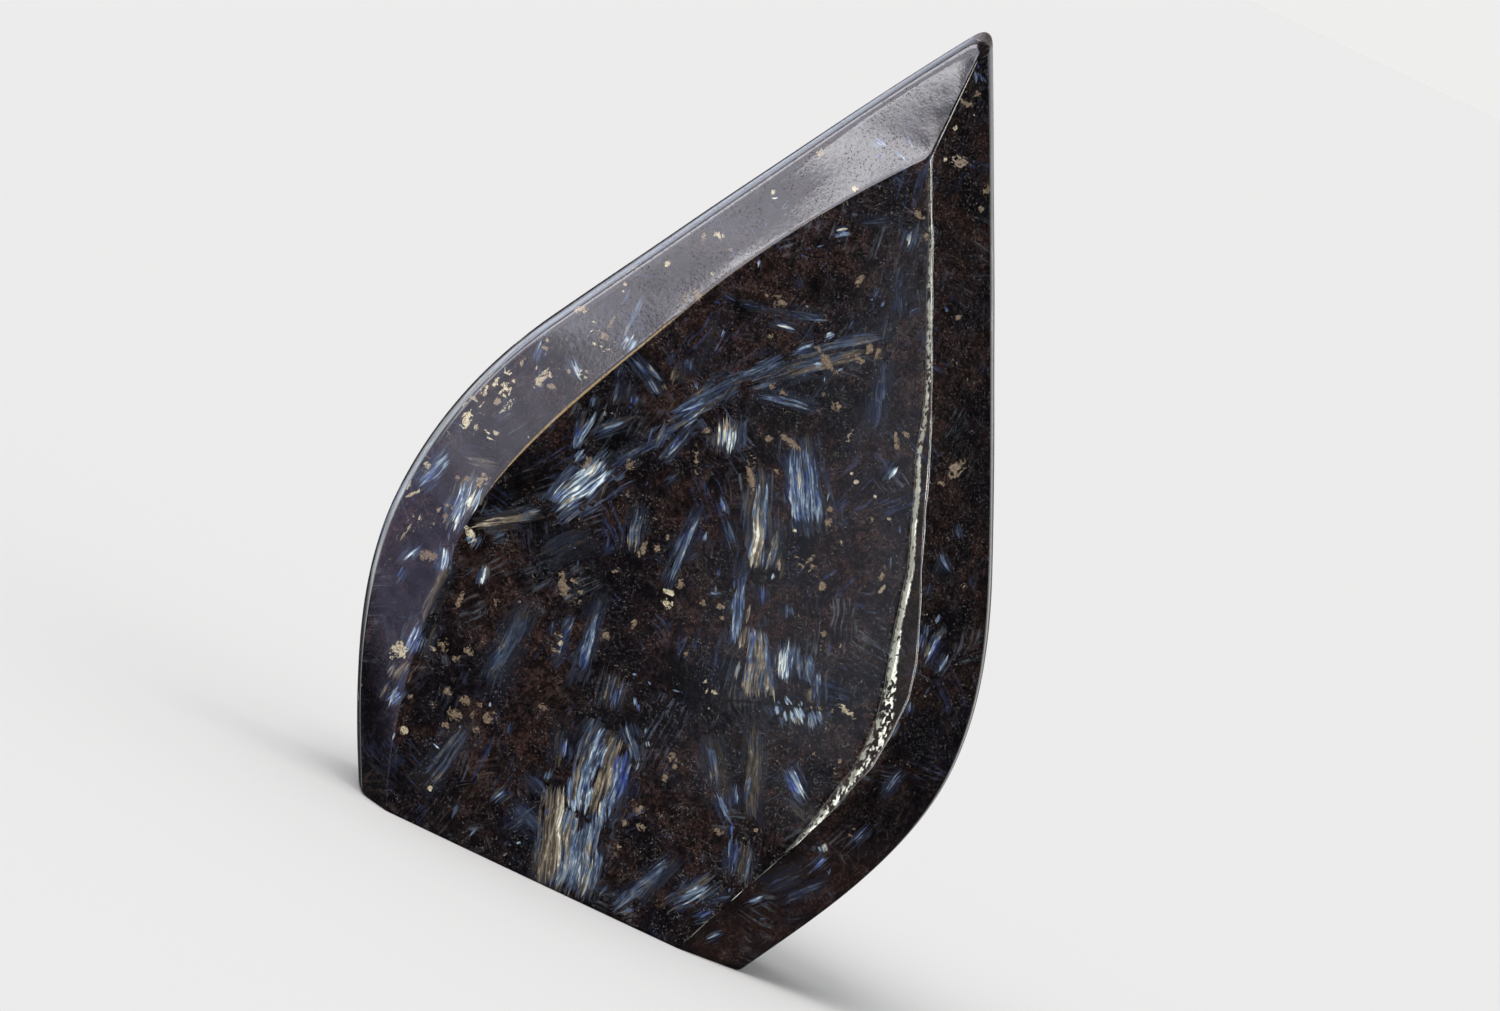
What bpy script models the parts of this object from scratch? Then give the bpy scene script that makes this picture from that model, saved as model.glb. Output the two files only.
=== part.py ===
"""A polished stone flame, one solid piece of rock that stands on its flat underside.

It has a nearly flat front and back that lean towards each other on the way up. Each is framed by a bevel, and
a slightly bulging side wall joins the two bevels. The bevels meet above the front in a short ridge that runs
up to the tip. Seen from the front, the outline is a pointed leaf.

Coordinates: X to the right, Y away from the viewer, Z up. The origin is the middle of the underside.
The functions work in millimetres, and the mesh is made in metres.
"""

import math

import bmesh
import bpy
import numpy as np

MM = 0.001

# The side walls seen from the front, as cubic Bezier segments of (x, z) points from the underside to the tip.
SHARP_TIP = (3.3, 96.2)
LEFT_WALL = (
    ((-21.3, 0.0), (-25.8, 8.4), (-30.4, 18.5), (-30.4, 27.5)),
    ((-30.4, 27.5), (-30.4, 36.5), (-27.8, 44.1), (-23.8, 51.0)),
    ((-23.8, 51.0), (-16.3, 64.0), (-4.9, 83.7), SHARP_TIP),
)
RIGHT_WALL = (
    ((21.4, 0.0), (26.2, 8.2), (32.0, 18.0), (32.0, 27.0)),
    ((32.0, 27.0), (32.0, 36.0), (28.3, 43.9), (25.0, 51.2)),
    ((25.0, 51.2), (18.7, 64.8), (9.9, 82.7), SHARP_TIP),
)

# The ridges between the front and its bevels, from the underside to where they meet at the top of the front.
FRONT_TOP = (3.6, 81.8)
LEFT_RIDGE = (
    ((-16.8, 0.0), (-20.5, 8.0), (-22.6, 18.0), (-22.6, 27.5)),
    ((-22.6, 27.5), (-22.6, 38.0), (-16.1, 47.8), (-10.8, 58.6)),
    ((-10.8, 58.6), (-7.1, 66.2), (-1.7, 75.2), FRONT_TOP),
)
RIGHT_RIDGE = (
    ((14.8, 0.0), (18.5, 8.5), (24.2, 17.0), (24.2, 27.0)),
    ((24.2, 27.0), (24.2, 40.0), (14.6, 59.3), FRONT_TOP),
)

# Half thicknesses, at the underside and level with the top of the front.
FACE_HALF = (13.5, 6.4)
EDGE_HALF = (8.3, 3.0)
TIP_HALF = 2.6  # at the tip end of the short ridge
FACE_RADIUS = 440.0  # of the slight bulge of the front and back, side to side
SIDE_BULGE = 0.7  # how far the middle of a side wall stands proud of its edges
BACK_BEVEL = 0.88  # width of a back bevel as a share of the front one

# How much each kind of edge is eased: the depth, in millimetres, over which two faces run into each other.
LEFT_EASE = 0.16
RIGHT_EASE = 0.45
BACK_EASE = 0.3
EDGE_EASE = 0.8
TIP_EASE = 2.25
TIP_DOME = 2.2  # height over which the tip also closes from front to back
FOOT_CHAMFER = 0.35

# The mesh: level rings of vertices, each with its vertices spread along the eight faces of that level.
RING_STEP = 2.4
TIP_STEPS = 10
CURVE_SAMPLES = 80
NEAR_CORNER = ((0.4, 0.12), (1.1, 0.28))  # (millimetres, most as a share of the face) from each end of a face
SIDE_COLUMNS, BEVEL_COLUMNS, FACE_COLUMNS = 3, 2, 6
NARROWEST_FACE = 0.6  # keeps the columns of the front apart along the short ridge
BISECTIONS = 40
FAR_OUT = 1.5  # a ray's far end, as a share of the way to its sharp corner

STONE_COLOUR = (0.022, 0.017, 0.021, 1.0)
STONE_ROUGHNESS = 0.12


def height_curve(segments):
    """x as a function of z along Bezier segments that only climb."""
    share = np.linspace(0.0, 1.0, CURVE_SAMPLES)[:, None]
    points = []
    for a, b, c, d in (np.array(segment) for segment in segments):
        points.append(
            a * (1 - share) ** 3
            + 3 * b * share * (1 - share) ** 2
            + 3 * c * share**2 * (1 - share)
            + d * share**3
        )
    x, z = np.concatenate(points).T
    return lambda at: float(np.interp(at, z, x))


left_wall = height_curve(LEFT_WALL)
right_wall = height_curve(RIGHT_WALL)
left_ridge = height_curve(LEFT_RIDGE)
right_ridge = height_curve(RIGHT_RIDGE)


def joined(a, b, ease):
    """The larger of two distances, rounded where they are within ease of each other."""
    near = np.maximum(ease - np.abs(a - b), 0.0) / ease
    return np.maximum(a, b) + near * near * ease / 4


def tip_height():
    """Where the two eased side walls meet above the stone."""
    low, high = FRONT_TOP[1], SHARP_TIP[1]
    for _ in range(BISECTIONS):
        z = (low + high) / 2
        # Halfway between the walls they are equally far, and the easing adds a quarter of its depth.
        open_still = (left_wall(z) - right_wall(z)) / 2 + TIP_EASE / 4 < 0
        low, high = (z, high) if open_still else (low, z)
    return low


TIP_HEIGHT = tip_height()


class Level:
    """The stone's section at one height, as distances to its faces."""

    def __init__(self, z):
        top_x, top_z = FRONT_TOP
        climb = z / top_z
        self.left, self.right = left_wall(z), right_wall(z)
        self.face = FACE_HALF[0] + (FACE_HALF[1] - FACE_HALF[0]) * climb
        self.edge = EDGE_HALF[0] + (EDGE_HALF[1] - EDGE_HALF[0]) * climb
        if z < top_z:
            self.ridges = left_ridge(z), right_ridge(z)
            self.rise = self.face
        else:
            along = (z - top_z) / (SHARP_TIP[1] - top_z)
            self.ridges = (top_x + (SHARP_TIP[0] - top_x) * along,) * 2
            self.rise = FACE_HALF[1] + (TIP_HALF - FACE_HALF[1]) * along
        dome = max(z - (TIP_HEIGHT - TIP_DOME), 0.0) / TIP_DOME
        closing = math.sqrt(1 - dome * dome)
        self.face, self.edge, self.rise = (v * closing for v in (self.face, self.edge, self.rise))
        self.middle = (self.left + self.right) / 2

    def ridges_of(self, bevel):
        """The two ridges of a face whose bevels are this share as wide as the front's."""
        left, right = self.ridges
        return self.left + (left - self.left) * bevel, self.right + (right - self.right) * bevel

    def half(self, x, depth, bevel, eases):
        """Distance beyond the front or back half: its face and its two bevels."""
        left, right = self.ridges_of(bevel)
        half_width = (right - left) / 2
        across = np.minimum(np.abs(x - (left + right) / 2), half_width)
        crown = (half_width**2 - across * across) / (2 * FACE_RADIUS)
        beyond = depth - self.face - crown
        for ridge, wall, ease in ((left, self.left, eases[0]), (right, self.right, eases[1])):
            slope = (self.rise - self.edge) / (ridge - wall)
            bevel_depth = self.edge + (x - wall) * slope
            beyond = joined(beyond, (depth - bevel_depth) / math.hypot(1, slope), ease)
        return beyond

    def beyond(self, x, y):
        """Distance outside the stone at this height, negative within it."""
        front = self.half(x, -y, 1.0, (LEFT_EASE, RIGHT_EASE))
        back = self.half(x, y, BACK_BEVEL, (BACK_EASE, BACK_EASE))
        bulge = SIDE_BULGE * (y / self.edge) ** 2
        sides = joined(self.left - x, x - self.right, TIP_EASE) + bulge
        return joined(np.maximum(front, back), sides, EDGE_EASE)

    def corners(self):
        """The eight corners of the section, with its edges left sharp, from the front left one round."""
        front, back = self.ridges_of(1.0), self.ridges_of(BACK_BEVEL)
        parted = []
        for left, right in (front, back):
            gap = max(NARROWEST_FACE - (right - left), 0.0) / 2
            parted.append((left - gap, right + gap))
        (a, b), (c, d) = parted
        return np.array(
            [
                (self.left, -self.edge),
                (a, -self.rise),
                (b, -self.rise),
                (self.right, -self.edge),
                (self.right, self.edge),
                (d, self.rise),
                (c, self.rise),
                (self.left, self.edge),
            ]
        )


def along_face(length, columns):
    """Places of the vertices along a face, from its first corner up to just before the next."""
    close = [min(near, length * share) for near, share in NEAR_CORNER]
    inner = np.linspace(close[-1], length - close[-1], columns + 1)
    return np.concatenate([[0.0], close[:-1], inner, [length - close[0]]]) / length


def ring(z, inset=0.0):
    """(x, y) of the vertices at one height, on the eased surface and moved in by an inset."""
    level = Level(z)
    corners = level.corners()
    columns = (BEVEL_COLUMNS, FACE_COLUMNS, BEVEL_COLUMNS, SIDE_COLUMNS) * 2
    aims = []
    for start, end, count in zip(corners, np.roll(corners, -1, axis=0), columns):
        shares = along_face(np.linalg.norm(end - start), count)
        aims.append(start + (end - start) * shares[:, None])
    centre = np.array([level.middle, 0.0])
    rays = np.concatenate(aims) - centre
    low, high = np.zeros(len(rays)), np.full(len(rays), FAR_OUT)
    for _ in range(BISECTIONS):
        reach = (low + high) / 2
        x, y = (centre + rays * reach[:, None]).T
        within = level.beyond(x, y) < -inset
        low, high = np.where(within, reach, low), np.where(within, high, reach)
    return centre + rays * low[:, None]


def ring_heights():
    """Heights of the rings above the foot's chamfer, closer together round the tip."""
    dome_start = TIP_HEIGHT - TIP_DOME
    steps = round((dome_start - FOOT_CHAMFER) / RING_STEP)
    body = np.linspace(FOOT_CHAMFER, dome_start, steps + 1)
    turn = np.linspace(0.0, 1.0, TIP_STEPS + 1)[1:-1] * math.pi / 2
    return [*body, *(dome_start + TIP_DOME * np.sin(turn))]


def stone_mesh():
    """Bridges the rings, and closes the foot with one flat face and the tip with a fan."""
    bm = bmesh.new()
    levels = [(0.0, ring(0.0, FOOT_CHAMFER))]
    levels += [(z, ring(z)) for z in ring_heights()]
    rows = [[bm.verts.new((x * MM, y * MM, z * MM)) for x, y in points] for z, points in levels]
    for lower, upper in zip(rows, rows[1:]):
        for i in range(len(lower)):
            bm.faces.new((lower[i - 1], lower[i], upper[i], upper[i - 1]))
    bm.faces.new(reversed(rows[0]))
    tip_x = (left_wall(TIP_HEIGHT) + right_wall(TIP_HEIGHT)) / 2
    tip = bm.verts.new((tip_x * MM, 0.0, TIP_HEIGHT * MM))
    for i in range(len(rows[-1])):
        bm.faces.new((rows[-1][i - 1], rows[-1][i], tip))
    mesh = bpy.data.meshes.new("flame")
    bm.to_mesh(mesh)
    bm.free()
    return mesh


def stone_material():
    material = bpy.data.materials.new("polished_stone")
    material.use_nodes = True
    shader = material.node_tree.nodes["Principled BSDF"]
    shader.inputs["Base Color"].default_value = STONE_COLOUR
    shader.inputs["Roughness"].default_value = STONE_ROUGHNESS
    shader.inputs["Metallic"].default_value = 0.0
    return material


def main():
    for obj in list(bpy.data.objects):
        bpy.data.objects.remove(obj)
    mesh = stone_mesh()
    mesh.materials.append(stone_material())
    mesh.shade_smooth()
    mesh.set_sharp_from_angle(angle=math.radians(30))
    flame = bpy.data.objects.new("flame", mesh)
    bpy.context.scene.collection.objects.link(flame)


main()
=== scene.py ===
"""The polished stone flame as it looks: a fine mesh of its shape, and dark rock full of fibrous blades.

The stone's own frame is the CAD's: X to the right seen from the front, Y away from the viewer, Z up, and the
origin in the middle of the flat base. Lengths are in millimetres, and the meshes are made in metres.
"""

import math

import bpy
import numpy as np
from mathutils import Matrix, Vector


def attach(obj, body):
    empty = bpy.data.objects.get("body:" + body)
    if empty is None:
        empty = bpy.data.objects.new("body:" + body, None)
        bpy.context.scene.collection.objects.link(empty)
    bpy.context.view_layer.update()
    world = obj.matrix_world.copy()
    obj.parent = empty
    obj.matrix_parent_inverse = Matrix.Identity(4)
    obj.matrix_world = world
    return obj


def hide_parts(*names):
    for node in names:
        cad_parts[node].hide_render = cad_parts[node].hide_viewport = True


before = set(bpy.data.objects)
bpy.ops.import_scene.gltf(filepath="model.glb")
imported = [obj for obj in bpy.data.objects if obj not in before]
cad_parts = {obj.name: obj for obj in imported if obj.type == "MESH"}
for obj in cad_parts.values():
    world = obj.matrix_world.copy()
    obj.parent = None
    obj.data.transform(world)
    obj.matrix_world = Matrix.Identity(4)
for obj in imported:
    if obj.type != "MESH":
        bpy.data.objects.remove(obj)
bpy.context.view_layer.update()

MM = 0.001

# The side walls, as in the CAD, and the front's ridges, each up to 1.3 mm left of the CAD's. Both are cubic
# Bezier segments of (x, z) points.
SHARP_TIP = (3.3, 96.2)
FRONT_TOP = (3.1, 81.8)
LEFT_WALL = (
    ((-21.3, 0.0), (-25.8, 8.4), (-30.4, 18.5), (-30.4, 27.5)),
    ((-30.4, 27.5), (-30.4, 36.5), (-27.8, 44.1), (-23.8, 51.0)),
    ((-23.8, 51.0), (-16.3, 64.0), (-4.9, 83.7), SHARP_TIP),
)
RIGHT_WALL = (
    ((21.4, 0.0), (26.2, 8.2), (32.0, 18.0), (32.0, 27.0)),
    ((32.0, 27.0), (32.0, 36.0), (28.3, 43.9), (25.0, 51.2)),
    ((25.0, 51.2), (18.7, 64.8), (9.9, 82.7), SHARP_TIP),
)
LEFT_RIDGE = (
    ((-18.1, 0.0), (-21.6, 8.0), (-23.0, 17.0), (-23.1, 27.0)),
    ((-23.1, 27.0), (-23.1, 37.5), (-16.9, 47.8), (-12.1, 58.6)),
    ((-12.1, 58.6), (-8.5, 66.2), (-2.6, 75.2), FRONT_TOP),
)
RIGHT_RIDGE = (
    ((14.1, 0.0), (17.8, 8.5), (23.4, 17.0), (23.4, 27.0)),
    ((23.4, 27.0), (23.4, 40.0), (14.0, 59.3), FRONT_TOP),
)

# Half thicknesses, at the underside and level with the top of the front.
FACE_HALF = (13.5, 6.4)
EDGE_HALF = (8.3, 3.0)
TIP_HALF = 2.6
FACE_RADIUS = 440.0
SIDE_BULGE = 0.5
BACK_BEVEL = 0.88

# The front's right ridge is worn to two edges with a narrow facet between them. Each edge runs straight from
# one (x, z) point to the next.
FACET_LEFT = (
    (14.1, 0.0), (17.75, 8.5), (20.25, 14.2), (21.06, 17.4), (21.76, 20.8), (22.37, 23.3), (22.58, 26.3),
    (22.38, 29.3), (21.8, 32.2), (20.91, 35.2), (20.12, 38.2), (19.43, 41.2), (18.84, 43.8), (18.15, 45.6),
    (16.96, 48.7), (15.87, 51.7), (14.58, 54.7), (13.7, 58.0), (12.21, 62.0), (10.33, 66.0), (8.45, 70.0),
    (6.67, 74.3), (4.79, 78.1), (3.1, 81.8),
)
FACET_RIGHT = (
    (14.1, 0.0), (17.75, 8.5), (20.35, 14.2), (22.06, 18.2), (22.96, 21.3), (23.87, 24.3), (24.27, 28.3),
    (24.29, 32.2), (23.5, 35.7), (22.41, 38.5), (21.32, 41.2), (20.13, 43.9), (19.14, 46.3), (17.76, 49.7),
    (16.87, 52.1), (15.48, 55.7), (14.49, 58.0), (12.61, 62.2), (10.63, 66.2), (8.75, 70.2), (6.77, 74.4),
    (4.79, 78.2), (3.1, 81.8),
)
FACET_STEEPNESS = 0.38  # as a share of the bevel's

# The depth over which two faces run into each other, for each kind of edge.
LEFT_EASE = 0.16
FACET_EASES = (0.11, 0.05)
BACK_EASE = 0.3
EDGE_EASE = 0.5
TIP_EASE = 2.25
TIP_DOME = 2.2
FOOT_RADIUS = 0.35

# The mesh: level rings, each with its vertices spread along the nine faces of that level.
RING_STEP = 0.42
FOOT_STEPS = 4
TIP_STEPS = 16
CURVE_SAMPLES = 300
NEAR_CORNER = (0.12, 0.25, 0.4, 0.58, 0.8, 1.1)
NEAR_CORNER_SHARE = 0.035
FRONT_COLUMNS, FRONT_BEVEL_COLUMNS, WALL_COLUMNS = 74, 14, 16
BACK_COLUMNS, BACK_BEVEL_COLUMNS = 50, 10
FACET_COLUMNS = 4
NARROWEST_FACE = 0.6
NARROWEST_FACET = 0.24
BISECTIONS = 34
FAR_OUT = 1.5

# How far hand polishing leaves the surface from true.
WAVE_DEPTH = 0.018
WAVE_LENGTHS = (9.0, 26.0)
WAVES_FROM = (0.5, 3.0)  # the height where they start, and how much further up they are full
RIPPLE_DEPTH = 0.02
RIPPLE_LENGTHS = (1.6, 4.5)
RIPPLE_REACH = 1.4  # from the right ridge
WAVE_COUNT, CROWN_COUNT = 24, 16  # plane waves in each sum
WAVE_SEED, RIPPLE_SEED, CROWN_SEED = 11, 12, 13
# The upper left bevel rolls off a little towards its ridge.
CROWN_DEPTH = 0.10
CROWN_WIDTH = 2.8
CROWN_UNEVEN = 0.35
CROWN_LENGTHS = (5.0, 12.0)
CROWN_FROM = 56.0
CROWN_FADES = (3.0, 5.0)


def height_curve(segments):
    """x as a function of z along Bezier segments that only climb."""
    share = np.linspace(0.0, 1.0, CURVE_SAMPLES)[:, None]
    points = []
    for a, b, c, d in (np.array(segment) for segment in segments):
        points.append(
            a * (1 - share) ** 3
            + 3 * b * share * (1 - share) ** 2
            + 3 * c * share**2 * (1 - share)
            + d * share**3
        )
    x, z = np.concatenate(points).T
    return lambda at: np.interp(at, z, x)


left_wall = height_curve(LEFT_WALL)
right_wall = height_curve(RIGHT_WALL)
left_ridge = height_curve(LEFT_RIDGE)
right_ridge = height_curve(RIGHT_RIDGE)


def height_line(points):
    """x as a function of z along straight stretches."""
    x, z = np.array(points).T
    return lambda at: np.interp(at, z, x)


facet_left = height_line(FACET_LEFT)
facet_right = height_line(FACET_RIGHT)


def joined(a, b, ease):
    """The larger of two distances, rounded where they are within ease of each other."""
    near = np.maximum(ease - np.abs(a - b), 0.0) / ease
    return np.maximum(a, b) + near * near * ease / 4


def tip_height():
    """Where the two eased side walls meet above the stone."""
    low, high = FRONT_TOP[1], SHARP_TIP[1]
    for _ in range(BISECTIONS):
        z = (low + high) / 2
        open_still = (left_wall(z) - right_wall(z)) / 2 + TIP_EASE / 4 < 0
        low, high = (z, high) if open_still else (low, z)
    return low


TIP_HEIGHT = tip_height()


class Level:
    """The stone's section at one height, as distances to its faces."""

    def __init__(self, z):
        top_x, top_z = FRONT_TOP
        climb = z / top_z
        self.left, self.right = float(left_wall(z)), float(right_wall(z))
        self.face = FACE_HALF[0] + (FACE_HALF[1] - FACE_HALF[0]) * climb
        self.edge = EDGE_HALF[0] + (EDGE_HALF[1] - EDGE_HALF[0]) * climb
        if z < top_z:
            self.ridges = float(left_ridge(z)), float(right_ridge(z))
            self.rise = self.face
        else:
            along = (z - top_z) / (SHARP_TIP[1] - top_z)
            self.ridges = (top_x + (SHARP_TIP[0] - top_x) * along,) * 2
            self.rise = FACE_HALF[1] + (TIP_HALF - FACE_HALF[1]) * along
        dome = max(z - (TIP_HEIGHT - TIP_DOME), 0.0) / TIP_DOME
        closing = math.sqrt(1 - dome * dome)
        self.face, self.edge, self.rise = (v * closing for v in (self.face, self.edge, self.rise))
        self.middle = (self.left + self.right) / 2
        if z < top_z:
            self.facet = float(facet_left(z)), float(facet_right(z))
        else:
            self.facet = (self.ridges[1],) * 2
        steepness = FACET_STEEPNESS * (self.rise - self.edge) / (self.right - self.ridges[1])
        self.facet_drop = steepness * (self.facet[1] - self.facet[0])
        self.steepness = steepness

    def ridges_of(self, bevel):
        """The two ridges of a face whose bevels are this share as wide as the front's."""
        left, right = self.ridges
        return self.left + (left - self.left) * bevel, self.right + (right - self.right) * bevel

    def face_beyond(self, x, depth, left, right):
        """Distance beyond the slightly crowned front or back."""
        half_width = (right - left) / 2
        across = np.minimum(np.abs(x - (left + right) / 2), half_width)
        return depth - self.face - (half_width**2 - across * across) / (2 * FACE_RADIUS)

    def bevel_beyond(self, x, depth, ridge, rise, wall):
        """Distance beyond the plane from a ridge to a wall's edge."""
        slope = (rise - self.edge) / (ridge - wall)
        return (depth - self.edge - (x - wall) * slope) / math.hypot(1, slope)

    def front(self, x, depth):
        near, far = self.facet
        left = self.ridges[0]
        facet = (depth - self.rise + (x - near) * self.steepness) / math.hypot(1, self.steepness)
        beyond = joined(self.face_beyond(x, depth, left, near), facet, FACET_EASES[0])
        right_bevel = self.bevel_beyond(x, depth, far, self.rise - self.facet_drop, self.right)
        beyond = joined(beyond, right_bevel, FACET_EASES[1])
        return joined(beyond, self.bevel_beyond(x, depth, left, self.rise, self.left), LEFT_EASE)

    def back(self, x, depth):
        left, right = self.ridges_of(BACK_BEVEL)
        beyond = self.face_beyond(x, depth, left, right)
        for ridge, wall in ((left, self.left), (right, self.right)):
            beyond = joined(beyond, self.bevel_beyond(x, depth, ridge, self.rise, wall), BACK_EASE)
        return beyond

    def beyond(self, x, y):
        """Distance outside the stone at this height, negative within it."""
        bulge = SIDE_BULGE * (y / self.edge) ** 2
        sides = joined(self.left - x, x - self.right, TIP_EASE) + bulge
        return joined(np.maximum(self.front(x, -y), self.back(x, y)), sides, EDGE_EASE)

    def corners(self):
        """The nine corners of the section, with its edges left sharp, from the front left one round."""
        (a, _), (c, d) = self.ridges, self.ridges_of(BACK_BEVEL)
        near, far = self.facet
        narrow = max(NARROWEST_FACE - (near - a), 0.0) / 2
        close = max(NARROWEST_FACET - (far - near), 0.0) / 2
        far = max(far + close, near + narrow + NARROWEST_FACET)
        back_narrow = max(NARROWEST_FACE - (d - c), 0.0) / 2
        return np.array(
            [
                (self.left, -self.edge),
                (a - narrow, -self.rise),
                (near + narrow - close, -self.rise),
                (far, -self.rise + self.facet_drop),
                (self.right, -self.edge),
                (self.right, self.edge),
                (d + back_narrow, self.rise),
                (c - back_narrow, self.rise),
                (self.left, self.edge),
            ]
        )


# The faces round a section, each with its columns of the mesh and the side that it belongs to.
FRONT, BACK, LEFT, RIGHT, BASE = range(5)
ROUND = (
    (FRONT_BEVEL_COLUMNS, FRONT),
    (FRONT_COLUMNS, FRONT),
    (FACET_COLUMNS, FRONT),
    (FRONT_BEVEL_COLUMNS, FRONT),
    (WALL_COLUMNS, RIGHT),
    (BACK_BEVEL_COLUMNS, BACK),
    (BACK_COLUMNS, BACK),
    (BACK_BEVEL_COLUMNS, BACK),
    (WALL_COLUMNS, LEFT),
)


def along_face(length, columns):
    """Places of the vertices along a face, from its first corner up to just before the next."""
    near = [min(d, length * NEAR_CORNER_SHARE * (i + 1)) for i, d in enumerate(NEAR_CORNER)]
    inner = np.linspace(near[-1], length - near[-1], columns + 1)
    return np.concatenate([[0.0], near[:-1], inner, length - np.array(near[-2::-1])]) / length


def ring(z, inset=0.0):
    """(x, y) of the vertices at one height, on the eased surface and moved in by an inset."""
    level = Level(z)
    corners = level.corners()
    aims = []
    for start, end, (count, _) in zip(corners, np.roll(corners, -1, axis=0), ROUND):
        shares = along_face(np.linalg.norm(end - start), count)
        aims.append(start + (end - start) * shares[:, None])
    centre = np.array([level.middle, 0.0])
    rays = np.concatenate(aims) - centre
    low, high = np.zeros(len(rays)), np.full(len(rays), FAR_OUT)
    for _ in range(BISECTIONS):
        reach = (low + high) / 2
        x, y = (centre + rays * reach[:, None]).T
        within = level.beyond(x, y) < -inset
        low, high = np.where(within, reach, low), np.where(within, high, reach)
    return centre + rays * low[:, None]


def ring_levels():
    """(height, inset) of every ring: the rounded foot, the body, and closer rings round the tip."""
    turn = np.linspace(0.0, 1.0, FOOT_STEPS + 1)[:-1] * math.pi / 2
    foot = [(FOOT_RADIUS * (1 - math.cos(t)), FOOT_RADIUS * (1 - math.sin(t))) for t in turn]
    dome_start = TIP_HEIGHT - TIP_DOME
    steps = round((dome_start - FOOT_RADIUS) / RING_STEP)
    body = np.linspace(FOOT_RADIUS, dome_start, steps + 1)
    turn = np.linspace(0.0, 1.0, TIP_STEPS + 1)[1:-1] * math.pi / 2
    return foot + [(z, 0.0) for z in (*body, *(dome_start + TIP_DOME * np.sin(turn)))]


def waves(points, lengths, count, seed):
    """A smooth field between about -1 and 1, as a sum of plane waves in seeded directions."""
    draw = np.random.default_rng(seed)
    total = np.zeros(len(points))
    for _ in range(count):
        direction = draw.normal(size=3)
        direction /= np.linalg.norm(direction)
        length = draw.uniform(*lengths)
        total += np.sin(points @ direction * (2 * math.pi / length) + draw.uniform(0, 2 * math.pi))
    return total / math.sqrt(count)


def stone_mesh():
    """The rings bridged, the foot closed with one flat face and the tip with a fan, and each face's side."""
    rows = []
    for z, inset in ring_levels():
        points = ring(z, inset)
        rows.append(np.column_stack([points, np.full(len(points), z)]))
    width = len(rows[0])
    tip_x = (left_wall(TIP_HEIGHT) + right_wall(TIP_HEIGHT)) / 2
    points = np.concatenate([*rows, [[tip_x, 0.0, TIP_HEIGHT]]])
    here = np.arange(width)
    last = (here - 1) % width
    faces = []
    for row in range(len(rows) - 1):
        low, high = row * width, (row + 1) * width
        faces.append(np.column_stack([last + low, here + low, here + high, last + high]))
    faces = [list(map(int, f)) for f in np.concatenate(faces)]
    top = (len(rows) - 1) * width
    counts = [count + 2 * len(NEAR_CORNER) for count, _ in ROUND]
    # The face before a column belongs to the side of the column before.
    sides = np.roll(np.repeat([side for _, side in ROUND], counts), 1)
    face_sides = np.concatenate([np.tile(sides, len(rows)), [BASE]])
    faces += [[int(last[i] + top), int(i + top), len(points) - 1] for i in here]
    faces.append([int(i) for i in here[::-1]])
    mesh = bpy.data.meshes.new("stone_flame")
    mesh.from_pydata(points * MM, [], faces)
    mesh.shade_smooth()
    mesh.polygons[len(faces) - 1].use_smooth = False
    mesh.update()
    return mesh, face_sides


def mesh_array(items, name, width=1, kind=float):
    """One property of each of a mesh's items."""
    values = np.empty(len(items) * width, dtype=kind)
    items.foreach_get(name, values)
    return values.reshape(-1, width) if width > 1 else values


def fade_in(values, start, length):
    """0 up to the start, and 1 from a length beyond it."""
    return np.clip((values - start) / length, 0, 1)


def make_wavy(mesh):
    """Leaves the surface slightly uneven, as polishing by hand does. The foot stays flat."""
    points = mesh_array(mesh.vertices, "co", 3) / MM
    normals = mesh_array(mesh.vertex_normals, "vector", 3)
    x, y, z = points.T
    wave = WAVE_DEPTH * waves(points, WAVE_LENGTHS, WAVE_COUNT, WAVE_SEED)
    by_ridge = np.exp(-(((x - right_ridge(z)) / RIPPLE_REACH) ** 2)) * (y < 0)
    ripple = RIPPLE_DEPTH * by_ridge * waves(points, RIPPLE_LENGTHS, WAVE_COUNT, RIPPLE_SEED)
    width = CROWN_WIDTH * (1 + CROWN_UNEVEN * waves(points, CROWN_LENGTHS, CROWN_COUNT, CROWN_SEED))
    inward = left_ridge(z) - x
    near = np.clip(1 - inward / width, 0, 1) * (inward > 0) * (y < 0) * (z < FRONT_TOP[1])
    heights = fade_in(z, CROWN_FROM, CROWN_FADES[0]) * fade_in(-z, -FRONT_TOP[1], CROWN_FADES[1])
    uneven = (wave + ripple) * fade_in(z, *WAVES_FROM) - CROWN_DEPTH * near**2 * heights
    points = points + normals * uneven[:, None]
    mesh.vertices.foreach_set("co", (points * MM).ravel())
    mesh.update()


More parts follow.
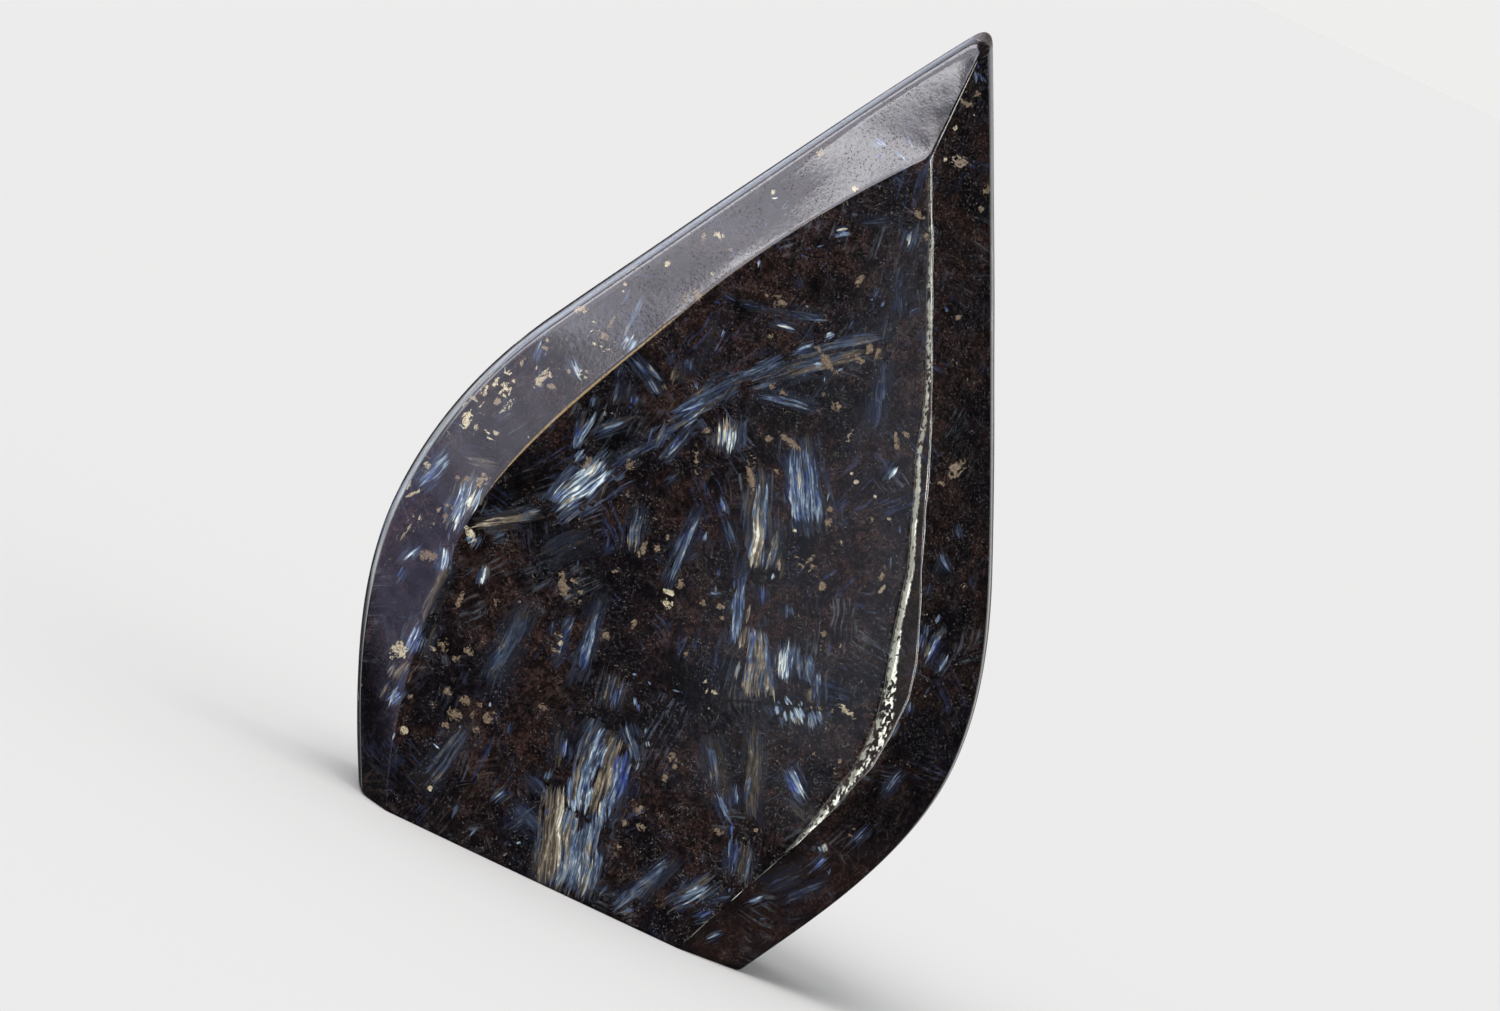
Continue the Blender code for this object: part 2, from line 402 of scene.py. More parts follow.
# The blades of the front, placed as the picture shows them: where each starts and ends (x, z, x, z),
# its width, how bright it is, and its tint from 0, blue, to 1, gold. An eighth number, where there is one,
# is how much wider it is at its end than in its middle, as a share.
BLADES = (
    # On the left bevel and next to it.
    (-28.4, 29.6, -26.7, 34.3, 0.9, 0.75, 0.1), (-22.7, 26.4, -23.5, 29.7, 1.0, 0.55, 0.45),
    (-22.3, 22.9, -23.1, 25.9, 0.7, 1.0, 0.1), (-22.3, 17.7, -22.3, 24.7, 1.1, 0.4, 0.9),
    (-21.8, 13.6, -21.9, 18.0, 1.3, 0.95, 0.15), (-22.3, 10.7, -21.7, 14.5, 2.2, 0.6, 0.85),
    (-21.7, 8.6, -21.2, 11.6, 0.9, 0.85, 0.1), (-23.0, 45.9, -23.4, 48.6, 0.5, 0.85, 0.05),
    (-20.2, 48.1, -18.2, 46.7, 0.6, 0.95, 0.35), (-25.5, 34.4, -21.5, 35.3, 1.0, 0.45, 0.9),
    (-26.6, 22.0, -25.5, 24.7, 0.4, 0.8, 0.1), (-25.9, 20.0, -25.7, 22.1, 0.3, 0.7, 0.1),
    (-15.4, 50.8, -15.5, 53.3, 1.3, 0.8, 0.3), (-22.8, 29.3, -23.0, 32.7, 1.3, 1.0, 0.55),
    (-15.9, 39.8, -15.6, 44.8, 1.0, 0.6, 0.1), (-18.3, 23.9, -19.0, 25.8, 0.5, 1.0, 0.4),
    (-5.7, 19.6, -6.8, 27.0, 0.8, 0.6, 0.1), (-14.0, 16.2, -13.1, 23.2, 1.6, 0.4, 0.3),
    (-21.6, 26.7, -21.4, 28.5, 0.9, 1.0, 0.4), (-22.1, 28.2, -16.2, 32.9, 0.7, 0.6, 0.8),
    (-14.9, 42.1, -11.9, 45.4, 0.5, 0.65, 0.25), (-25.9, 43.7, -25.8, 45.1, 0.5, 0.6, 0.1),
    (-8.6, 19.9, -8.8, 24.9, 0.4, 0.6, 0.05),
    # Beside the tall bundle and on the right bevel's lower end.
    (10.5, 7.1, 7.2, -0.2, 1.0, 0.55, 0.3), (20.2, 8.1, 23.0, 11.5, 1.0, 0.35, 0.2),
    (23.6, 11.8, 24.8, 14.2, 0.4, 0.75, 0.05), (23.4, 15.1, 24.3, 14.2, 0.8, 0.95, 0.5),
    (20.1, 18.4, 22.5, 16.2, 0.8, 0.45, 0.8), (11.4, 15.4, 14.9, 12.6, 0.5, 0.7, 0.15),
    (8.3, 21.1, 13.8, 14.3, 2.0, 0.28, 0.85), (15.0, 11.8, 16.7, 8.1, 0.6, 0.6, 0.1),
    (16.5, 12.6, 17.9, 7.9, 1.4, 0.45, 0.75), (11.3, 31.4, 13.2, 27.7, 1.3, 0.95, 0.4),
    (13.7, 32.0, 16.1, 28.6, 1.1, 0.6, 0.3), (14.7, 26.6, 16.3, 24.8, 1.5, 0.9, 0.35),
    (16.7, 27.5, 18.1, 25.2, 1.4, 0.75, 0.25), (12.9, 26.5, 14.5, 24.6, 0.9, 0.8, 0.1),
    (15.1, 4.4, 18.2, 7.2, 0.5, 0.4, 0.1), (18.9, 6.2, 21.1, 8.1, 0.5, 0.7, 0.1),
    (12.6, 22.8, 15.0, 17.1, 1.5, 0.42, 0.85), (-6.5, 9.0, -3.2, 7.3, 1.6, 0.35, 0.15),
    (-6.4, 5.8, -1.9, 4.0, 1.4, 0.35, 0.2), (26.8, 21.6, 27.8, 25.4, 0.5, 0.55, 0.1),
    (26.3, 15.8, 27.2, 18.9, 0.4, 0.65, 0.1), (22.3, 7.8, 26.0, 11.8, 0.8, 0.4, 0.15),
    (14.8, 2.6, 16.7, 4.8, 0.5, 0.65, 0.1),
    # The tall bundle at the foot.
    (-3.2, 9.0, -0.2, -0.4, 2.2, 0.6, 0.75), (-2.4, 9.4, 0.6, -0.4, 1.3, 0.85, 0.9),
    (-0.8, 8.2, 1.5, -0.4, 1.6, 0.65, 0.35), (0.9, 7.2, 2.6, -0.4, 1.3, 0.6, 0.2),
    (1.0, 10.2, 3.0, 3.8, 1.6, 0.5, 0.15), (1.5, 9.7, 3.9, 0.1, 1.5, 0.8, 0.5),
    (2.1, 5.2, 4.0, 0.1, 0.9, 0.95, 0.55), (3.4, 5.7, 4.8, 0.4, 0.8, 0.6, 0.15),
    (-3.2, 7.0, -2.5, 5.6, 0.5, 0.5, 0.1), (-2.3, 10.8, -1.2, 8.0, 0.6, 0.7, 0.1),
    (-1.3, 9.1, -0.3, 7.0, 1.1, 0.9, 0.15), (-4.3, 10.5, -4.0, 8.8, 0.7, 0.4, 0.1),
    (-5.2, 15.2, -3.6, 10.3, 0.9, 0.32, 0.6), (-4.3, 13.9, -3.5, 11.2, 0.5, 0.8, 0.0),
    (-2.3, 17.0, -1.2, 10.3, 1.6, 0.55, 0.6), (-1.2, 16.7, -0.3, 9.8, 1.4, 0.8, 0.3),
    (0.4, 16.4, 1.6, 9.8, 1.6, 0.7, 0.85), (1.7, 15.7, 3.0, 9.3, 1.6, 0.7, 0.1),
    (2.3, 13.7, 3.6, 9.8, 1.0, 0.45, 0.1), (0.3, 17.8, 2.0, 16.0, 0.8, 0.7, 0.2),
    (1.2, 17.4, 3.5, 14.0, 1.0, 0.6, 0.4), (2.5, 18.4, 2.9, 17.2, 0.35, 0.7, 0.05),
    (3.1, 17.0, 3.6, 16.3, 0.4, 0.75, 0.4), (3.1, 15.0, 3.6, 13.5, 0.5, 0.7, 0.25),
    (-2.8, 22.0, -2.2, 17.9, 1.0, 0.6, 0.75), (-1.8, 21.5, -1.4, 17.9, 1.1, 0.65, 0.15),
    (-0.9, 21.0, -0.9, 18.2, 0.6, 0.35, 1.0), (0.2, 20.5, 0.9, 19.3, 0.5, 0.75, 0.05),
    (0.7, 20.2, 1.3, 19.0, 0.4, 0.6, 0.1), (-2.1, 12.6, -0.6, 7.2, 1.1, 0.62, 0.55),
    (-0.9, 12.4, 0.4, 7.0, 1.2, 0.75, 0.2), (0.6, 12.8, 1.7, 7.4, 1.3, 0.66, 0.7),
    (1.8, 12.2, 2.9, 7.0, 1.1, 0.78, 0.25), (-0.2, 11.2, 0.9, 7.8, 0.6, 0.95, 0.35),
    # Short ones round its foot.
    (-7.1, 6.9, -8.2, 4.6, 0.45, 1.0, 0.35), (-6.5, 7.3, -5.8, 6.4, 0.3, 0.4, 0.9),
    (-3.5, 8.5, -4.2, 7.9, 0.3, 0.7, 0.6), (-3.6, 2.5, -4.2, 2.0, 0.35, 0.9, 0.2),
    (-4.2, 6.5, -6.0, 2.5, 1.2, 0.3, 0.1), (-4.8, 2.3, -5.4, 1.1, 0.5, 0.4, 0.3),
    (-4.5, 1.1, -5.0, 0.2, 0.4, 0.5, 0.3), (-8.3, 1.9, -8.8, 0.8, 0.3, 0.5, 0.2),
    (10.3, 6.9, 9.1, 1.5, 0.8, 0.5, 0.35), (9.0, 4.2, 7.6, 1.0, 0.6, 0.35, 0.3),
    (7.9, 2.9, 7.2, 0.5, 0.4, 0.5, 0.2), (6.0, 2.6, 5.4, 0.7, 0.3, 0.5, 0.3),
    (9.6, 1.6, 8.0, -0.1, 0.6, 0.7, 0.7), (13.8, 7.3, 13.2, 5.7, 0.3, 0.5, 0.1),
    # Above it, up the middle.
    (-7.8, 38.0, -6.3, 33.3, 1.3, 0.6, 0.5), (-6.2, 35.1, -6.0, 33.9, 0.25, 0.8, 0.0),
    (-9.0, 33.8, -8.3, 31.8, 0.8, 0.4, 0.1), (-2.0, 39.8, -1.6, 32.3, 0.7, 0.6, 0.1),
    (-2.5, 37.6, -2.6, 34.4, 0.6, 0.45, 0.3), (-1.8, 34.1, -1.9, 31.4, 0.7, 0.35, 0.2),
    (-0.4, 38.7, -0.2, 36.9, 0.5, 0.5, 0.0), (-1.2, 37.6, -1.3, 34.2, 0.3, 0.35, 0.2),
    (0.0, 36.6, -1.2, 34.4, 0.4, 0.3, 0.2), (2.1, 36.0, 2.7, 34.5, 0.4, 0.5, 0.1),
    (2.5, 34.3, 3.1, 32.7, 0.3, 0.65, 0.4), (1.9, 34.0, 2.6, 34.3, 0.25, 0.6, 0.1),
    (2.1, 32.9, 3.9, 33.7, 0.35, 0.6, 0.3), (3.9, 34.2, 4.5, 34.1, 0.3, 0.6, 0.2),
    (4.1, 35.6, 4.6, 34.1, 0.3, 0.5, 0.1), (-7.2, 28.4, -6.6, 21.8, 0.9, 0.3, 0.3),
    (-6.6, 24.1, -6.3, 21.4, 0.6, 0.6, 0.0), (-6.4, 22.0, -5.9, 20.5, 0.3, 0.5, 0.6),
    (-6.5, 20.1, -6.2, 17.9, 0.5, 0.25, 0.4), (-9.0, 25.1, -8.6, 23.4, 0.8, 0.4, 0.2),
    (3.1, 23.3, 3.8, 23.5, 0.22, 0.8, 0.05), (3.2, 22.7, 4.3, 22.9, 0.22, 0.6, 0.1),
    (-1.1, 22.3, -0.4, 22.5, 0.25, 0.8, 0.05), (0.6, 22.5, 1.2, 22.2, 0.25, 0.9, 0.05),
    (7.2, 22.6, 7.6, 22.4, 0.18, 0.9, 0.5), (11.2, 22.0, 11.4, 21.6, 0.3, 0.6, 0.0),
    (8.5, 20.6, 9.9, 18.1, 0.8, 0.3, 0.4), (11.9, 20.1, 12.2, 19.4, 0.2, 0.9, 0.4),
    # The fan right of the middle.
    (6.3, 40.1, 6.9, 37.2, 0.6, 0.7, 0.7), (7.0, 39.6, 7.8, 37.3, 0.7, 0.7, 0.9),
    (7.5, 37.6, 7.6, 36.8, 0.3, 1.0, 0.35), (6.8, 36.6, 7.9, 33.9, 0.5, 0.6, 0.0),
    (4.3, 37.2, 6.9, 29.8, 0.8, 0.55, 0.1), (4.8, 35.2, 7.0, 29.0, 1.0, 0.65, 0.05),
    (4.7, 34.6, 5.2, 31.9, 0.4, 0.5, 0.2), (6.6, 33.9, 7.1, 31.4, 0.4, 0.6, 0.8),
    (7.2, 32.2, 7.8, 28.3, 1.0, 0.7, 0.85), (7.9, 28.7, 8.6, 26.1, 0.6, 0.65, 0.45),
    (7.7, 32.5, 9.3, 27.8, 0.7, 0.6, 0.0), (8.3, 32.3, 11.6, 25.2, 2.4, 0.75, 0.75, 0.35),
    (9.0, 28.6, 10.1, 25.5, 0.4, 0.7, 0.05), (9.5, 31.2, 12.3, 26.7, 0.5, 0.6, 0.05),
    (10.5, 29.1, 12.8, 26.9, 0.4, 0.5, 0.1), (9.7, 35.6, 10.6, 33.5, 0.5, 0.4, 0.1),
    (10.1, 35.6, 11.1, 34.2, 0.5, 0.55, 0.15), (11.6, 32.0, 13.2, 28.0, 1.1, 1.0, 0.25),
    (12.2, 32.5, 14.5, 28.9, 0.8, 0.5, 0.2), (14.3, 31.1, 15.2, 28.7, 0.8, 0.5, 0.4),
    (13.7, 31.9, 15.2, 30.7, 0.25, 0.8, 0.1), (15.3, 31.2, 16.8, 27.4, 0.9, 0.7, 0.25),
    (15.6, 29.1, 16.3, 26.9, 0.5, 0.55, 0.9), (13.7, 27.0, 14.8, 26.3, 0.5, 0.9, 0.25),
    (15.3, 27.3, 15.7, 26.5, 0.4, 0.8, 0.4), (14.3, 25.9, 15.2, 24.7, 0.8, 0.9, 0.4),
    (15.5, 26.1, 16.4, 24.5, 0.8, 0.7, 0.7), (16.9, 26.5, 17.7, 24.7, 0.9, 0.65, 0.2),
    (15.3, 33.7, 15.9, 32.7, 0.5, 0.6, 0.15),
    # The great sheaves above the middle.
    (-9.5, 44.5, -3.5, 53.5, 1.3, 0.42, 0.35), (-8.6, 47.5, -1.0, 57.5, 1.0, 0.46, 0.25),
    (-6.0, 52.0, 3.0, 60.0, 1.1, 0.4, 0.45), (-3.0, 53.2, 6.2, 61.6, 1.2, 0.48, 0.55),
    (-1.0, 57.6, 7.2, 64.0, 0.8, 0.44, 0.3), (-12.0, 40.0, -7.5, 46.5, 0.9, 0.36, 0.15),
    (-3.5, 54.0, 4.2, 59.9, 2.0, 0.34, 0.5), (-0.5, 58.0, 1.6, 60.3, 0.7, 0.6, 0.1),
    (-2.6, 55.8, -0.6, 58.3, 0.6, 0.4, 0.2), (2.0, 58.0, 3.0, 58.4, 0.6, 0.95, 0.3),
    (3.5, 57.4, 3.8, 56.7, 0.35, 1.0, 0.3), (-2.0, 52.9, 4.0, 54.1, 0.8, 0.55, 0.25),
    (-3.8, 54.1, -4.9, 49.9, 0.7, 0.4, 0.6), (-4.5, 54.7, -8.0, 47.8, 1.6, 0.4, 0.4),
    (-5.6, 50.7, -8.0, 47.7, 0.8, 0.7, 0.15), (-5.9, 49.7, -7.5, 46.3, 1.0, 0.7, 0.2),
    (-6.3, 47.2, -7.6, 42.8, 0.7, 0.7, 0.12), (-8.3, 46.2, -8.6, 42.8, 0.8, 0.5, 0.2),
    (-9.5, 46.1, -9.7, 44.4, 0.3, 0.6, 0.05), (-3.8, 50.0, -2.0, 46.3, 1.9, 0.95, 0.65),
    (-2.9, 49.5, -1.6, 46.3, 1.0, 1.0, 0.35), (4.3, 50.3, 8.6, 43.2, 2.6, 0.72, 0.15, 0.2),
    (4.5, 50.2, 6.3, 46.3, 0.9, 0.8, 0.5), (5.1, 46.1, 6.1, 44.3, 0.3, 0.95, 0.2),
    (4.1, 48.7, 6.5, 44.3, 0.9, 0.7, 0.02), (2.3, 45.5, 5.9, 36.8, 1.5, 0.85, 0.55, 0.2),
    (2.0, 44.2, 4.5, 37.8, 1.2, 0.3, 0.45), (-1.0, 42.3, 1.0, 40.4, 0.35, 0.8, 0.0),
    (0.5, 40.6, 3.0, 37.8, 0.8, 0.45, 0.25), (-5.2, 42.8, -6.5, 40.6, 0.7, 0.4, 0.5),
    (-9.9, 53.7, -8.7, 51.5, 0.7, 0.48, 0.08), (-8.1, 51.7, -7.3, 50.7, 0.3, 0.7, 0.0),
    (-7.5, 57.5, -7.4, 56.3, 0.3, 0.85, 0.05), (-7.4, 55.9, -7.4, 54.7, 0.2, 0.5, 0.0),
    (-7.9, 40.5, -7.9, 39.7, 0.18, 0.6, 0.1), (8.7, 60.2, 10.5, 54.3, 1.0, 0.38, 0.15),
    (8.9, 58.2, 9.3, 51.8, 0.8, 0.2, 0.3), (13.9, 52.8, 13.6, 50.5, 0.8, 0.9, 0.1),
    (8.9, 47.6, 9.2, 45.9, 0.18, 0.7, 0.2), (5.8, 42.2, 6.9, 37.8, 0.7, 0.6, 0.6),
    (-8.5, 58.2, -8.2, 51.8, 0.7, 0.2, 0.5),
    # Left of them, against the left ridge.
    (-15.2, 51.0, -11.8, 49.8, 0.5, 0.62, 0.1), (-13.8, 51.1, -10.6, 49.8, 0.55, 0.5, 0.15),
    (-12.6, 49.9, -10.2, 48.4, 0.7, 0.68, 0.3), (-10.9, 50.0, -10.0, 49.2, 0.5, 0.5, 0.85),
    (-10.1, 52.1, -9.8, 50.0, 0.7, 0.55, 0.9), (-14.9, 48.7, -14.2, 45.4, 0.5, 0.35, 0.2),
    (-13.7, 49.1, -13.2, 45.9, 0.5, 0.35, 0.2), (-13.0, 48.1, -12.3, 46.2, 0.7, 0.55, 0.3),
    (-12.6, 47.8, -12.2, 46.7, 0.3, 0.7, 0.1), (-15.2, 50.1, -15.0, 47.9, 0.35, 0.45, 0.1),
    (-14.5, 47.3, -14.3, 45.9, 0.3, 0.4, 0.2), (-13.1, 46.3, -12.2, 46.3, 0.22, 0.6, 0.0),
    (-14.7, 45.0, -14.5, 44.2, 0.4, 0.5, 0.4), (-14.5, 42.4, -12.0, 45.6, 0.4, 0.5, 0.3),
    (-17.0, 44.1, -16.3, 40.4, 0.7, 0.42, 0.15), (-16.4, 43.6, -15.9, 40.9, 0.4, 0.35, 0.6),
    (-16.2, 42.1, -15.9, 39.8, 0.5, 0.55, 0.1), (-16.4, 46.2, -16.0, 44.2, 0.5, 0.5, 0.2),
    (-15.6, 42.0, -15.5, 39.9, 0.4, 0.35, 0.4), (-14.9, 40.8, -15.4, 38.6, 0.9, 0.65, 0.2),
    (-9.7, 45.8, -9.5, 43.3, 0.3, 0.5, 0.1), (-8.8, 47.1, -8.5, 42.9, 0.5, 0.4, 0.25),
    (-21.9, 28.8, -18.2, 31.2, 0.7, 0.65, 0.8), (-19.8, 28.3, -18.3, 30.0, 0.7, 0.7, 0.5),
    (-21.7, 26.9, -20.9, 27.9, 0.4, 0.7, 0.4), (-19.3, 26.1, -18.6, 24.9, 0.5, 0.8, 0.5),
    (-18.7, 24.8, -18.2, 23.7, 0.5, 0.85, 0.05), (-17.9, 31.9, -16.2, 33.3, 0.4, 0.5, 0.2),
    (-17.6, 31.4, -16.4, 32.7, 0.5, 0.35, 0.8), (-15.1, 33.8, -12.2, 40.4, 2.4, 1.0, 0.28, 0.25),
    (-14.8, 33.8, -13.7, 36.2, 0.5, 0.8, 0.9), (-13.0, 36.0, -11.8, 40.0, 0.7, 1.0, 0.2),
    (-16.4, 34.6, -16.1, 36.1, 0.35, 0.55, 0.1), (-16.5, 38.8, -16.3, 38.0, 0.22, 0.7, 0.2),
    (-11.5, 39.1, -11.4, 36.4, 0.35, 0.4, 0.85), (-10.8, 30.5, -10.6, 29.5, 0.22, 0.5, 0.1),
    (-14.6, 29.2, -10.6, 33.6, 1.6, 0.24, 0.4), (-10.6, 24.1, -9.8, 21.9, 0.3, 0.5, 0.1),
    (-8.9, 25.5, -8.9, 22.7, 0.7, 0.45, 0.15),
    # The lower left.
    (-22.3, 18.7, -22.2, 14.4, 0.9, 0.7, 0.1), (-22.7, 18.4, -22.5, 14.6, 0.4, 0.7, 0.9),
    (-22.6, 13.3, -22.5, 11.2, 0.6, 0.7, 0.7), (-21.5, 13.6, -21.4, 9.9, 0.8, 0.4, 0.25),
    (-22.6, 11.6, -22.7, 8.7, 0.4, 0.4, 0.5), (-21.7, 10.9, -21.4, 8.6, 0.4, 0.8, 0.25),
    (-20.9, 18.7, -20.5, 14.2, 0.5, 0.3, 0.7), (-12.6, 13.9, -12.4, 13.0, 0.25, 0.9, 0.0),
    (-9.9, 13.1, -9.6, 11.2, 0.25, 0.5, 0.1), (-16.1, 7.5, -15.0, 7.2, 0.35, 0.9, 0.0),
    (-14.4, 10.6, -14.1, 9.7, 0.25, 0.8, 0.1), (-19.9, 7.3, -19.7, 5.7, 0.2, 0.7, 0.1),
    (-11.2, 3.7, -11.0, 1.5, 0.4, 0.4, 0.2), (-8.3, 2.1, -8.7, 0.6, 0.2, 0.5, 0.1),
    (-19.0, 5.6, -18.3, 2.9, 0.3, 0.3, 0.0), (-13.5, 24.2, -13.0, 14.8, 1.6, 0.3, 0.4),
    (-13.9, 19.1, -13.9, 15.9, 0.4, 0.45, 0.05), (-13.5, 10.7, -14.8, 3.3, 1.6, 0.4, 0.4, 0.3),
    # The lower right.
    (8.6, 19.8, 11.6, 15.4, 0.9, 0.45, 0.3), (11.8, 16.6, 13.8, 13.4, 1.2, 0.35, 0.2),
    (13.0, 16.9, 14.4, 14.4, 0.35, 0.75, 0.05), (14.2, 13.4, 15.0, 11.5, 0.35, 0.6, 0.05),
    (14.9, 12.6, 16.5, 8.5, 0.9, 0.55, 0.1), (12.4, 22.9, 16.0, 14.0, 1.5, 0.42, 0.7),
    (14.0, 18.6, 14.9, 15.1, 0.4, 0.45, 0.05), (16.2, 12.1, 17.5, 7.9, 0.5, 0.4, 0.75),
    (17.0, 12.1, 18.3, 7.9, 0.5, 0.4, 0.0), (16.0, 12.6, 18.7, 7.7, 1.6, 0.32, 0.45),
    (16.6, 20.8, 20.1, 18.2, 1.0, 0.85, 0.1), (17.5, 18.4, 21.5, 16.4, 0.8, 0.35, 0.6),
    (12.6, 3.0, 15.4, 7.1, 1.1, 0.9, 0.4), (12.7, 2.9, 14.2, 4.1, 0.22, 0.5, 0.2),
    (12.4, 4.4, 12.9, 6.9, 0.25, 0.4, 0.2), (13.3, 5.7, 13.8, 7.3, 0.25, 0.5, 0.2),
    (13.0, 9.6, 13.7, 8.0, 0.3, 0.4, 0.1), (17.0, 7.3, 17.3, 6.6, 0.22, 0.6, 0.1),
    (23.5, 15.3, 24.3, 14.2, 0.5, 0.8, 0.35), (22.6, 14.9, 23.5, 14.1, 0.6, 0.4, 0.8),
    (25.5, 13.3, 25.6, 12.0, 0.2, 0.8, 0.2), (23.9, 12.4, 23.7, 11.4, 0.18, 0.6, 0.1),
    (20.5, 6.9, 22.0, 7.2, 0.3, 0.4, 0.2), (20.8, 5.2, 22.2, 5.8, 0.4, 0.6, 0.2),
    (17.0, 1.3, 18.3, 2.7, 0.35, 0.8, 0.2), (18.0, 2.0, 18.8, 3.0, 0.25, 0.4, 0.2),
    (19.3, 0.3, 19.6, 1.4, 0.3, 0.5, 0.6), (20.0, 9.0, 24.0, 12.0, 1.6, 0.2, 0.6),
    # The right bevel.
    (23.4, 39.4, 24.1, 36.4, 0.5, 0.7, 0.05), (24.5, 38.6, 24.9, 35.9, 0.5, 0.7, 0.7),
    (25.3, 39.6, 25.2, 35.4, 0.4, 0.8, 0.1), (24.0, 35.9, 25.0, 33.9, 0.3, 0.4, 0.1),
    (27.0, 38.1, 26.7, 34.9, 0.35, 0.7, 0.15), (26.7, 34.1, 26.4, 32.7, 0.3, 0.3, 0.2),
    (25.2, 32.1, 25.8, 30.2, 0.4, 0.6, 0.1), (25.4, 29.6, 25.3, 27.4, 0.22, 0.5, 0.1),
    (21.9, 49.8, 23.0, 48.3, 0.35, 0.6, 0.05), (21.3, 46.5, 23.6, 44.8, 0.5, 0.6, 0.2),
    (22.0, 43.6, 22.5, 41.4, 0.18, 0.35, 0.05), (22.2, 46.1, 22.1, 43.9, 0.15, 0.3, 0.1),
    (24.5, 41.1, 24.3, 39.7, 0.35, 0.6, 0.0), (23.6, 40.0, 24.0, 37.9, 0.8, 0.5, 0.2),
    (25.5, 46.1, 26.3, 43.9, 0.22, 0.3, 0.05), (24.5, 49.1, 24.3, 48.3, 0.25, 0.4, 0.0),
    (16.7, 47.6, 17.2, 46.4, 0.3, 0.6, 0.0), (17.3, 44.1, 17.8, 42.8, 0.22, 0.4, 0.05),
    (11.3, 68.8, 12.3, 68.6, 0.4, 0.7, 0.02), (4.1, 91.9, 4.8, 90.3, 0.35, 0.72, 0.1),
    (4.5, 91.6, 5.3, 90.8, 0.22, 0.6, 0.1), (4.0, 92.6, 4.3, 91.7, 0.22, 0.5, 0.1),
    (4.9, 91.4, 5.9, 90.8, 0.18, 0.4, 0.1), (6.4, 87.3, 7.3, 87.3, 0.2, 0.3, 0.0),
    # The upper front.
    (0.7, 78.7, 2.9, 78.1, 0.5, 0.4, 0.1), (-1.0, 73.2, -0.2, 73.5, 0.3, 0.4, 0.2),
    (-1.9, 72.8, -0.7, 73.1, 0.3, 0.3, 0.1), (-0.3, 72.1, -0.6, 71.7, 0.2, 0.55, 0.4),
    (-1.9, 70.5, -0.2, 71.9, 0.6, 0.6, 0.15), (-1.7, 71.1, -0.7, 71.9, 0.3, 0.85, 0.5),
    (-1.6, 70.5, -0.3, 71.6, 0.25, 0.85, 0.05), (-2.8, 68.8, -2.0, 69.3, 0.3, 0.5, 0.1),
    (-3.9, 67.8, -2.9, 68.8, 0.28, 0.6, 0.1), (-4.0, 67.5, -2.9, 67.4, 0.22, 0.4, 0.1),
    (-5.8, 68.1, -5.2, 68.0, 0.22, 0.5, 0.1), (-3.5, 65.6, -2.0, 64.1, 0.6, 0.3, 0.1),
    (5.4, 75.1, 5.6, 71.9, 0.6, 0.78, 0.42), (4.9, 74.6, 5.3, 72.9, 0.4, 0.6, 0.05),
    (5.9, 74.0, 6.0, 73.1, 0.18, 0.5, 0.1), (0.0, 72.8, 3.5, 75.0, 0.6, 0.28, 0.2),
    (6.4, 72.4, 7.3, 73.6, 0.4, 0.28, 0.1), (5.8, 71.1, 6.5, 67.9, 0.8, 0.3, 0.2),
    (6.2, 69.1, 7.9, 65.7, 0.8, 0.36, 0.2), (8.2, 69.6, 9.0, 67.9, 1.0, 0.25, 0.3),
    (8.3, 66.4, 9.5, 68.1, 0.5, 0.5, 0.1), (4.3, 67.1, 4.9, 68.3, 0.3, 0.5, 0.1),
    (4.8, 68.1, 4.6, 66.3, 0.3, 0.55, 0.05), (4.4, 66.6, 4.6, 66.3, 0.25, 0.8, 0.0),
    (5.6, 66.9, 5.8, 66.1, 0.3, 0.6, 0.1), (4.9, 66.6, 4.9, 65.1, 0.25, 0.4, 0.1),
    (10.5, 66.1, 11.5, 64.4, 0.6, 0.3, 0.2), (6.5, 66.1, 7.2, 62.9, 0.5, 0.3, 0.4),
    (-3.9, 60.0, -0.4, 60.7, 0.45, 0.62, 0.1), (-9.7, 60.5, -7.3, 60.4, 0.16, 0.5, 0.1),
    (-7.4, 60.4, -3.0, 61.3, 0.18, 0.5, 0.15), (-2.6, 61.5, 1.1, 62.8, 0.8, 0.42, 0.35),
    (-3.9, 61.3, -0.1, 62.0, 0.22, 0.42, 0.3), (-0.5, 62.0, 1.3, 62.8, 0.5, 0.5, 0.2),
    (-1.3, 63.0, -0.8, 63.0, 0.22, 0.75, 0.4), (-9.9, 59.5, -8.7, 59.5, 0.22, 0.5, 0.05),
    (-1.0, 60.7, 1.5, 60.3, 0.3, 0.3, 0.1), (1.8, 60.8, 2.8, 62.0, 0.7, 0.8, 0.12),
    (1.9, 60.4, 2.4, 61.4, 0.3, 0.6, 0.1), (-0.5, 58.5, 1.5, 60.4, 0.9, 0.4, 0.4),
    (4.5, 58.5, 4.9, 59.0, 0.3, 0.6, 0.2), (3.8, 63.9, 3.7, 62.4, 0.3, 0.5, 0.0),
    (8.0, 62.1, 9.5, 58.3, 1.0, 0.34, 0.2), (17.5, 59.1, 18.0, 57.7, 0.18, 0.3, 0.2),
    (4.8, 63.8, 3.6, 56.6, 1.0, 0.2, 0.5),
    # The left bevel.
    (-27.0, 34.7, -28.5, 29.6, 0.8, 0.55, 0.4), (-25.3, 34.6, -22.2, 34.5, 0.5, 0.35, 0.6),
    (-24.0, 33.2, -23.4, 27.5, 1.0, 0.95, 0.35), (-23.2, 33.2, -22.4, 27.8, 0.8, 0.5, 0.5),
    (-23.8, 27.6, -23.2, 26.1, 0.25, 0.6, 0.0), (-23.4, 26.1, -22.3, 23.1, 0.7, 0.9, 0.15),
    (-25.5, 25.1, -25.9, 22.4, 0.35, 0.6, 0.15), (-26.1, 22.1, -26.1, 20.1, 0.3, 0.5, 0.1),
